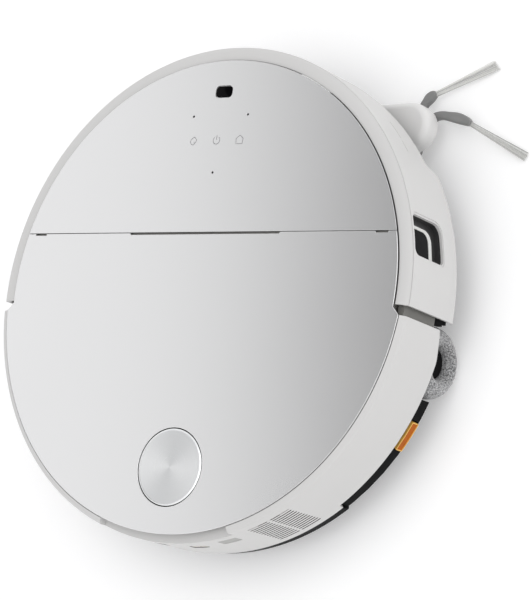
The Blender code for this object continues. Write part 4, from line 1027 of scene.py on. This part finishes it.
class RV_OT_side_brush(bpy.types.Operator):
    """Build the swing arm, the rubber brush hub, its legs and their bristles"""

    bl_idname = "rv.side_brush"
    bl_label = "Side brush"

    def execute(self, context):
        brush = context.scene.brush_settings
        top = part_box("side_brush_arm")[1].z
        outline = hull([(-0.0760, -0.1210, 0.0262), (-0.1150, -0.1315, 0.0169)])
        arm = raised("brush_arm_skin", outline, -0.0050, top)
        bevel_edges(arm, lambda a, b, angle: min(a.z, b.z) > top - 1e-6 and angle > 1.0, brush.arm_round, 9)
        bevel_edges(arm, lambda a, b, angle: max(a.z, b.z) < -0.0049 and angle > 1.0, 0.0012, 3)
        carve(arm, cylinder("bore", 0.0055, -0.02, 0.02, PIVOT.xy, 32),
              cylinder("pocket", 0.0088, -0.02, -0.0030, PIVOT.xy, 40))
        # The arm gets the brighter white: painted light standing in for the light on its top.
        done(arm, "arm_lit_white", "brush_arm", ["side_brush_arm"], 30)

        hub = cylinder("brush_hub", 0.0044, -0.0135, -0.0054, HUB.xy, 48, 0.0008)
        screw = cylinder("hub_screw_hole", 0.0024, -0.0200, -0.0118, HUB.xy, 32)
        carve(hub, screw)
        pieces = [hub]
        for number, route in LEG_ROUTES.items():
            pieces.append(self.leg(number, route, brush.leg_width))
        rotor = joined("side_brush_rubber", pieces)
        done(rotor, "rubber", "side_brush", ["side_brush_rotor"], 45)
        for number, route in LEG_ROUTES.items():
            self.tuft(number, route, brush)
        return {"FINISHED"}

    def leg(self, number, route, width):
        """A curved rubber strap with a swollen grip at its end, where the bristles are held."""
        spots = smooth_route([Vector(spot) for spot in route])
        count = len(spots)
        left, right = [], []
        for i, spot in enumerate(spots):
            run = (spots[min(i + 1, count - 1)] - spots[max(i - 1, 0)]).normalized()
            share = i / (count - 1)
            half = width / 2 * (0.86 + 0.26 * math.exp(-((share - 0.72) / 0.16) ** 2))
            if share > 0.86:
                half *= 1 - 0.45 * ((share - 0.86) / 0.14) ** 2
            side = Vector((-run.y, run.x)) * half
            left.append(tuple(spot + side))
            right.append(tuple(spot - side))
        strap = raised(f"leg_{number}", left + right[::-1], -0.0128, -0.0078)
        bevel_edges(strap, lambda a, b, angle: abs(a.z - b.z) < 1e-6 and angle > 1.0, 0.0021, 4)
        return strap

    def tuft(self, number, route, brush):
        """A flat fan of fibres from the leg's end to the floor."""
        random.seed(number)
        before, root = Vector(route[-2]), Vector(route[-1])
        run = (root - before).normalized()
        side = Vector((-run.y, run.x))
        ends = [Vector(tip) for tip in TUFT_TIPS[number]]
        if (ends[0] - ends[1]).dot(side) < 0:
            ends.reverse()
        object_mode()
        bpy.ops.object.select_all(action="DESELECT")
        bpy.ops.mesh.primitive_cone_add(vertices=5, radius1=brush.fibre_width / 2,
                                        radius2=brush.fibre_width * 0.36, depth=1.0, location=(0.0, 0.0, 0.5))
        fibre = bpy.context.object
        bpy.ops.object.transform_apply(location=True, rotation=True, scale=True)
        fibres = []
        for k in range(brush.fibres):
            share = (k + random.random()) / brush.fibres
            layer = random.uniform(-1.0, 1.0)
            first = root - run * 0.0040 + side * (0.0015 * (1 - 2 * share))
            last = ends[0].lerp(ends[1], share)
            last = last - (last - root).normalized() * random.uniform(0.0, 0.0012)
            a = Vector((*first, -0.0103 + 0.0011 * layer))
            b = Vector((*last, -0.0178 + 0.0007 * layer))
            way = b - a
            turn = way.to_track_quat("Z", "Y").to_matrix().to_4x4()
            copied = copy_at(fibre, Matrix.Translation(a) @ turn @ Matrix.Diagonal((1, 1, way.length, 1)))
            where = copied.data.uv_layers.new(name="fibre")
            for corner in copied.data.loops:
                where.data[corner.index].uv = (share, float(fibre.data.vertices[corner.vertex_index].co.z > 0.5))
            fibres.append(copied)
        bpy.data.objects.remove(fibre, do_unlink=True)
        tuft = joined(f"side_tuft_{number}", fibres)
        done(tuft, "bristle", "side_brush", [f"side_bristles_{number}"], 60)


# ---------------------------------------------------------------- latches and base
class RV_OT_latches(bpy.types.Operator):
    """Build the amber mop latches, with a painted highlight on their rims"""

    bl_idname = "rv.latches"
    bl_label = "Mop latches"

    def execute(self, context):
        for sign, label in ((1, "right"), (-1, "left")):
            outline = [(sign * b, z) for b, z in wall_window(116.4, 123.6, 0.0077, 0.0150, 0.0007, 4)][::sign]
            latch = wall_block(f"latch_{label}", outline, 0.1682, 0.1738)
            latch.data.materials.append(MATERIALS["amber"])
            latch.data.materials.append(MATERIALS["amber_rim"])
            only(latch)
            bpy.ops.object.mode_set(mode="EDIT")
            bpy.ops.mesh.select_mode(type="FACE")
            bpy.ops.mesh.select_all(action="DESELECT")
            mesh = bmesh.from_edit_mesh(latch.data)
            # Painted highlight: every face takes the lighter rim colour, then the inset front face takes plain
            # amber.
            for face in mesh.faces:
                face.material_index = 1
                if all(v.co.xy.length > 0.1737 for v in face.verts):
                    face.select_set(True)
            bmesh.update_edit_mesh(latch.data)
            bpy.ops.mesh.inset(thickness=0.0007, depth=0.0)
            mesh = bmesh.from_edit_mesh(latch.data)
            for face in mesh.faces:
                if face.select:
                    face.material_index = 0
            bmesh.update_edit_mesh(latch.data)
            bpy.ops.mesh.extrude_region_move(TRANSFORM_OT_translate={"value": (0.0, 0.0, 0.0)})
            bpy.ops.transform.resize(value=(0.9980, 0.9980, 1.0), center_override=(0.0, 0.0, 0.0))
            tidy_mesh()
            done(latch, "amber", f"latch_{label}", [f"mop_latch_{label}"], 25)
        return {"FINISHED"}


class RV_OT_tyres(bpy.types.Operator):
    """Build the drive tyres with their raised lugs"""

    bl_idname = "rv.tyres"
    bl_label = "Tyres"

    def execute(self, context):
        steps = 72
        for label in ("left", "right"):
            low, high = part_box(f"tyre_{label}")
            middle = (low + high) / 2
            radius, rim = (high.z - low.z) / 2, (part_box(f"wheel_hub_{label}")[1].z - middle.z) + 0.0004
            base, edge = radius - 0.0013, 0.0016
            profile = [(low.x + 0.0002, rim), (low.x + 0.0002, base - 0.0010), (low.x + edge, base),
                       (middle.x - 0.0006, base), (middle.x + 0.0006, base), (high.x - edge, base),
                       (high.x - 0.0002, base - 0.0010), (high.x - 0.0002, rim)]
            tyre = draw(f"tyre_tread_{label}", [(x, middle.y, middle.z + r) for x, r in profile], True, False)
            bpy.ops.mesh.spin(steps=steps, angle=math.tau, center=(0.0, middle.y, middle.z),
                              axis=(1.0, 0.0, 0.0))
            tidy_mesh()
            only(tyre)
            bpy.ops.object.mode_set(mode="EDIT")
            bpy.ops.mesh.select_mode(type="FACE")
            bpy.ops.mesh.select_all(action="DESELECT")
            mesh = bmesh.from_edit_mesh(tyre.data)
            for face in mesh.faces:
                spot = face.calc_center_median()
                reach = math.hypot(spot.y - middle.y, spot.z - middle.z)
                turn = math.atan2(spot.z - middle.z, spot.y - middle.y) / math.tau * steps
                half = spot.x > middle.x
                face.select_set(reach > base - 0.0002 and abs(spot.x - middle.x) > 0.001
                                and (math.floor(turn + 1e-4) + half) % 3 != 0)
            bmesh.update_edit_mesh(tyre.data)
            bpy.ops.mesh.inset(thickness=0.0004, depth=0.0012)
            tidy_mesh()
            done(tyre, "tyre", f"wheel_{label}", [f"tyre_{label}"], 25)
        return {"FINISHED"}


# Bearings in degrees and radii of the screws and the drop sensors under the base.
SCREW_SPOTS = ((11, 0.156), (-22, 0.150), (136, 0.145), (165, 0.150), (195, 0.150), (224, 0.145),
               (180, 0.085))
CLIFF_SPOTS = ((-42, 0.151), (-77, 0.156), (150, 0.154), (210, 0.154))


class RV_OT_underside(bpy.types.Operator):
    """Build the screws, the drop sensors and the brush cover's catches under the machine"""

    bl_idname = "rv.underside"
    bl_label = "Underside"

    def execute(self, context):
        collar = cylinder("collar", 0.0052, -0.0007, -0.0001, sides=40, bevel=0.0002)
        carve(collar, cylinder("collar_hole", 0.0034, -0.0020, 0.0020, sides=32))
        head = cylinder("screw_head", 0.0030, -0.0006, -0.0001, sides=32, bevel=0.0002)
        slot = raised("slot", [(-0.0019, -0.0004), (0.0019, -0.0004), (0.0019, 0.0004), (-0.0019, 0.0004)],
                      -0.0020, -0.00035)
        other = copy_at(slot, Matrix.Rotation(math.pi / 2, 4, "Z"))
        carve(head, slot, other)
        collars, heads = [], []
        for bearing, reach in SCREW_SPOTS:
            place = Matrix.Translation(ring_spot(reach, bearing))
            collars.append(copy_at(collar, place))
            heads.append(copy_at(head, place @ Matrix.Rotation(math.radians(bearing * 3), 4, "Z")))
        for piece in (collar, head):
            bpy.data.objects.remove(piece, do_unlink=True)
        done(joined("screw_collars", collars), "base_detail", "chassis")
        done(joined("base_screws", heads), "steel", "chassis")

        frames, panes = [], []
        for bearing, reach in CLIFF_SPOTS:
            turn = Matrix.Rotation(-math.radians(bearing), 4, "Z")
            place = Matrix.Translation(ring_spot(reach, bearing)) @ turn
            outline = rounded([(-0.0095, -0.0048), (0.0095, -0.0048), (0.0095, 0.0048), (-0.0095, 0.0048)],
                              0.0022)
            rim = raised("cliff_frame", outline, -0.0009, -0.0001)
            inside = [(x * 0.86, y * 0.76) for x, y in outline]
            carve(rim, raised("cliff_hole", inside, -0.0030, -0.0003))
            rim.data.transform(place)
            frames.append(rim)
            pane = raised("cliff_pane", [(x * 0.97, y * 0.97) for x, y in inside], -0.0006, -0.00035)
            pane.data.transform(place)
            panes.append(pane)
        done(joined("drop_sensor_frames", frames), "base_detail", "chassis")
        done(joined("drop_sensor_windows", panes), "glass", "chassis")

        catches = []
        low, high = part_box("brush_cover")
        for x in (low.x + 0.024, high.x - 0.024):
            outline = rounded([(x - 0.0080, -0.0438), (x + 0.0080, -0.0438), (x + 0.0080, -0.0419),
                               (x - 0.0080, -0.0419)], 0.0006, 4)
            tab = raised("catch", outline, low.z - 0.0009, low.z - 0.0001)
            bevel_edges(tab, lambda a, b, angle: max(a.z, b.z) < low.z - 0.0008 and angle > 1.0, 0.0003, 2)
            catches.append(tab)
        done(joined("brush_cover_catches", catches), "amber", "chassis")
        return {"FINISHED"}


CARRIED = {
    "black": ["base_tray", "lidar_well", "lidar_head", "brush_bearing_left", "brush_bearing_right", "brush_hood",
              "brush_cover", "wheel_hub_left", "wheel_hub_right", "wheel_arm_left", "wheel_arm_right",
              "caster_socket", "caster_fork", "mop_core", "mop_carriage", "fan_housing", "battery_pack",
              "water_pump", "front_sensor_module"],
    "grey": ["mid_frame", "fan_impeller"],
    "white": ["lidar_turret", "caster_wheel"],
    "steel": ["bumper_spring_right", "bumper_spring_left", "arm_pivot_pin", "wheel_bracket_left",
              "wheel_bracket_right", "caster_axle", "mop_lift_frame", "main_brush_motor", "arm_swing_motor"],
    "rubber": ["main_brush", "mop_scraper"],
    "smoked": ["dustbin", "clean_water_tank", "dirty_water_tank"],
    "paper": ["dust_filter"],
    "board": ["main_board"],
}


class RV_OT_finishes(bpy.types.Operator):
    """Make every finish and give the carried-over parts theirs"""

    bl_idname = "rv.finishes"
    bl_label = "Finishes"

    def execute(self, context):
        MATERIALS.update(make_materials(context.scene.body_settings))
        for key, names in CARRIED.items():
            for name in names:
                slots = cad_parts[name].data.materials
                slots.clear()
                slots.append(MATERIALS[key])
        return {"FINISHED"}


# ---------------------------------------------------------------- stage
# Where the dim patch of the room lies, and the way in which it fades in at its edge.
DIM_WAY = (0.4300, -0.2000, 0.8800)
DIM_ACROSS = (-0.7980, -0.1290, 0.5890)
CAMERA_SPOT = Vector((-1.1084, 0.3211, 1.4705))
CAMERA_AXES = ((-0.8078, -0.1376, -0.5732), (0.0071, -0.9746, 0.2239), (-0.5894, 0.1768, 0.7882))


def panel_light(name, spot, target, size, power):
    """A soft rectangular light that faces a point."""
    made = bpy.data.lights.new(name, "AREA")
    made.shape = "RECTANGLE"
    made.size, made.size_y = size
    made.energy = power
    holder = bpy.data.objects.new(name, made)
    holder.location = spot
    holder.rotation_euler = (Vector(target) - Vector(spot)).to_track_quat("-Z", "Y").to_euler()
    bpy.context.scene.collection.objects.link(holder)


class RV_OT_stage(bpy.types.Operator):
    """Set the camera, the pale floor and the studio lights"""

    bl_idname = "rv.stage"
    bl_label = "Stage"

    def execute(self, context):
        scene = context.scene
        stage = scene.stage_settings
        lens = bpy.data.cameras.new("camera")
        lens.sensor_width = 36.0
        lens.lens = stage.lens
        camera = bpy.data.objects.new("camera", lens)
        turn = Matrix(CAMERA_AXES).transposed().to_4x4()
        camera.matrix_world = Matrix.Translation(CAMERA_SPOT) @ turn
        scene.collection.objects.link(camera)
        scene.camera = camera

        object_mode()
        bpy.ops.object.select_all(action="DESELECT")
        bpy.ops.mesh.primitive_plane_add(size=stage.floor_size, location=(0.0, 0.0, FLOOR_Z))
        floor = context.object
        floor.name = "floor"
        # Matt white studio paper, lit a little from below so that it stays clean.
        paper = grained("matt_white_studio_paper", {
            "Base Color": srgb("#F4F4F4"), "Roughness": 0.9, "Emission Color": srgb("#FFFFFF"),
            "Emission Strength": 0.17}, 2.0, 0.010, 0.008, 800.0)[0]
        floor.data.materials.append(paper)

        world = bpy.data.worlds.new("studio_room")
        world.use_nodes = True
        room = world.node_tree
        room.nodes["Background"].inputs["Color"].default_value = srgb("#FEFEFF")
        # A bright room with a dimmer patch, set so that the top plates mirror it towards the main camera.
        way = add_node(room, "ShaderNodeTexCoord")
        toward = add_node(room, "ShaderNodeVectorMath", {"operation": "DOT_PRODUCT", 1: DIM_WAY},
                          {0: way.outputs["Generated"]})
        near = add_node(room, "ShaderNodeMapRange", {"interpolation_type": "SMOOTHSTEP", "From Min": 0.90,
                                                     "From Max": 0.955}, {"Value": toward.outputs["Value"]})
        across = add_node(room, "ShaderNodeVectorMath", {"operation": "DOT_PRODUCT", 1: DIM_ACROSS},
                          {0: way.outputs["Generated"]})
        edge = add_node(room, "ShaderNodeMapRange", {"interpolation_type": "SMOOTHSTEP", "From Min": -0.01,
                                                     "From Max": 0.078}, {"Value": across.outputs["Value"]})
        patch = add_node(room, "ShaderNodeMath", {"operation": "MULTIPLY"},
                         {0: near.outputs[0], 1: edge.outputs[0]})
        fade = add_node(room, "ShaderNodeMapRange", {"To Min": stage.room_light, "To Max": stage.dim_light},
                        {"Value": patch.outputs[0]})
        room.links.new(fade.outputs[0], room.nodes["Background"].inputs["Strength"])
        scene.world = world
        scene.view_settings.view_transform = "Standard"
        panel_light("overhead", (-0.35, -0.10, 1.80), (0.0, 0.0, 0.0), (1.2, 1.2), stage.key_power)
        panel_light("fill", (-1.6, -0.70, 0.90), (0.0, 0.0, 0.0), (1.4, 1.4), stage.fill_power)
        return {"FINISHED"}


class RV_PT_panel(bpy.types.Panel):
    """Buttons for the pieces of the machine"""

    bl_idname = "RV_PT_panel"
    bl_label = "Robot vacuum"
    bl_space_type = "VIEW_3D"
    bl_region_type = "UI"
    bl_category = "Robot vacuum"

    def draw(self, context):
        for maker in MAKERS:
            self.layout.operator(maker.bl_idname)
        for group in SETTINGS:
            self.layout.label(text=group.replace("_", " ").capitalize())
            settings = getattr(context.scene, group)
            for field in settings.__annotations__:
                self.layout.prop(settings, field)


SETTINGS = {"body_settings": BodySettings, "brush_settings": BrushSettings, "mop_settings": MopSettings,
            "stage_settings": StageSettings}
MAKERS = (RV_OT_finishes, RV_OT_stage, RV_OT_top_plates, RV_OT_touch_symbols, RV_OT_rear_shell, RV_OT_bumper,
          RV_OT_lidar_cap, RV_OT_mop_roller, RV_OT_side_brush, RV_OT_latches, RV_OT_tyres, RV_OT_underside)


def register():
    for kind in (*SETTINGS.values(), *MAKERS, RV_PT_panel):
        bpy.utils.register_class(kind)
    for name, kind in SETTINGS.items():
        setattr(bpy.types.Scene, name, bpy.props.PointerProperty(type=kind))


def unregister():
    for name in SETTINGS:
        delattr(bpy.types.Scene, name)
    for kind in reversed((*SETTINGS.values(), *MAKERS, RV_PT_panel)):
        bpy.utils.unregister_class(kind)


def main():
    register()
    for maker in MAKERS:
        group, action = maker.bl_idname.split(".")
        getattr(getattr(bpy.ops, group), action)()


if __name__ == "__main__":
    main()
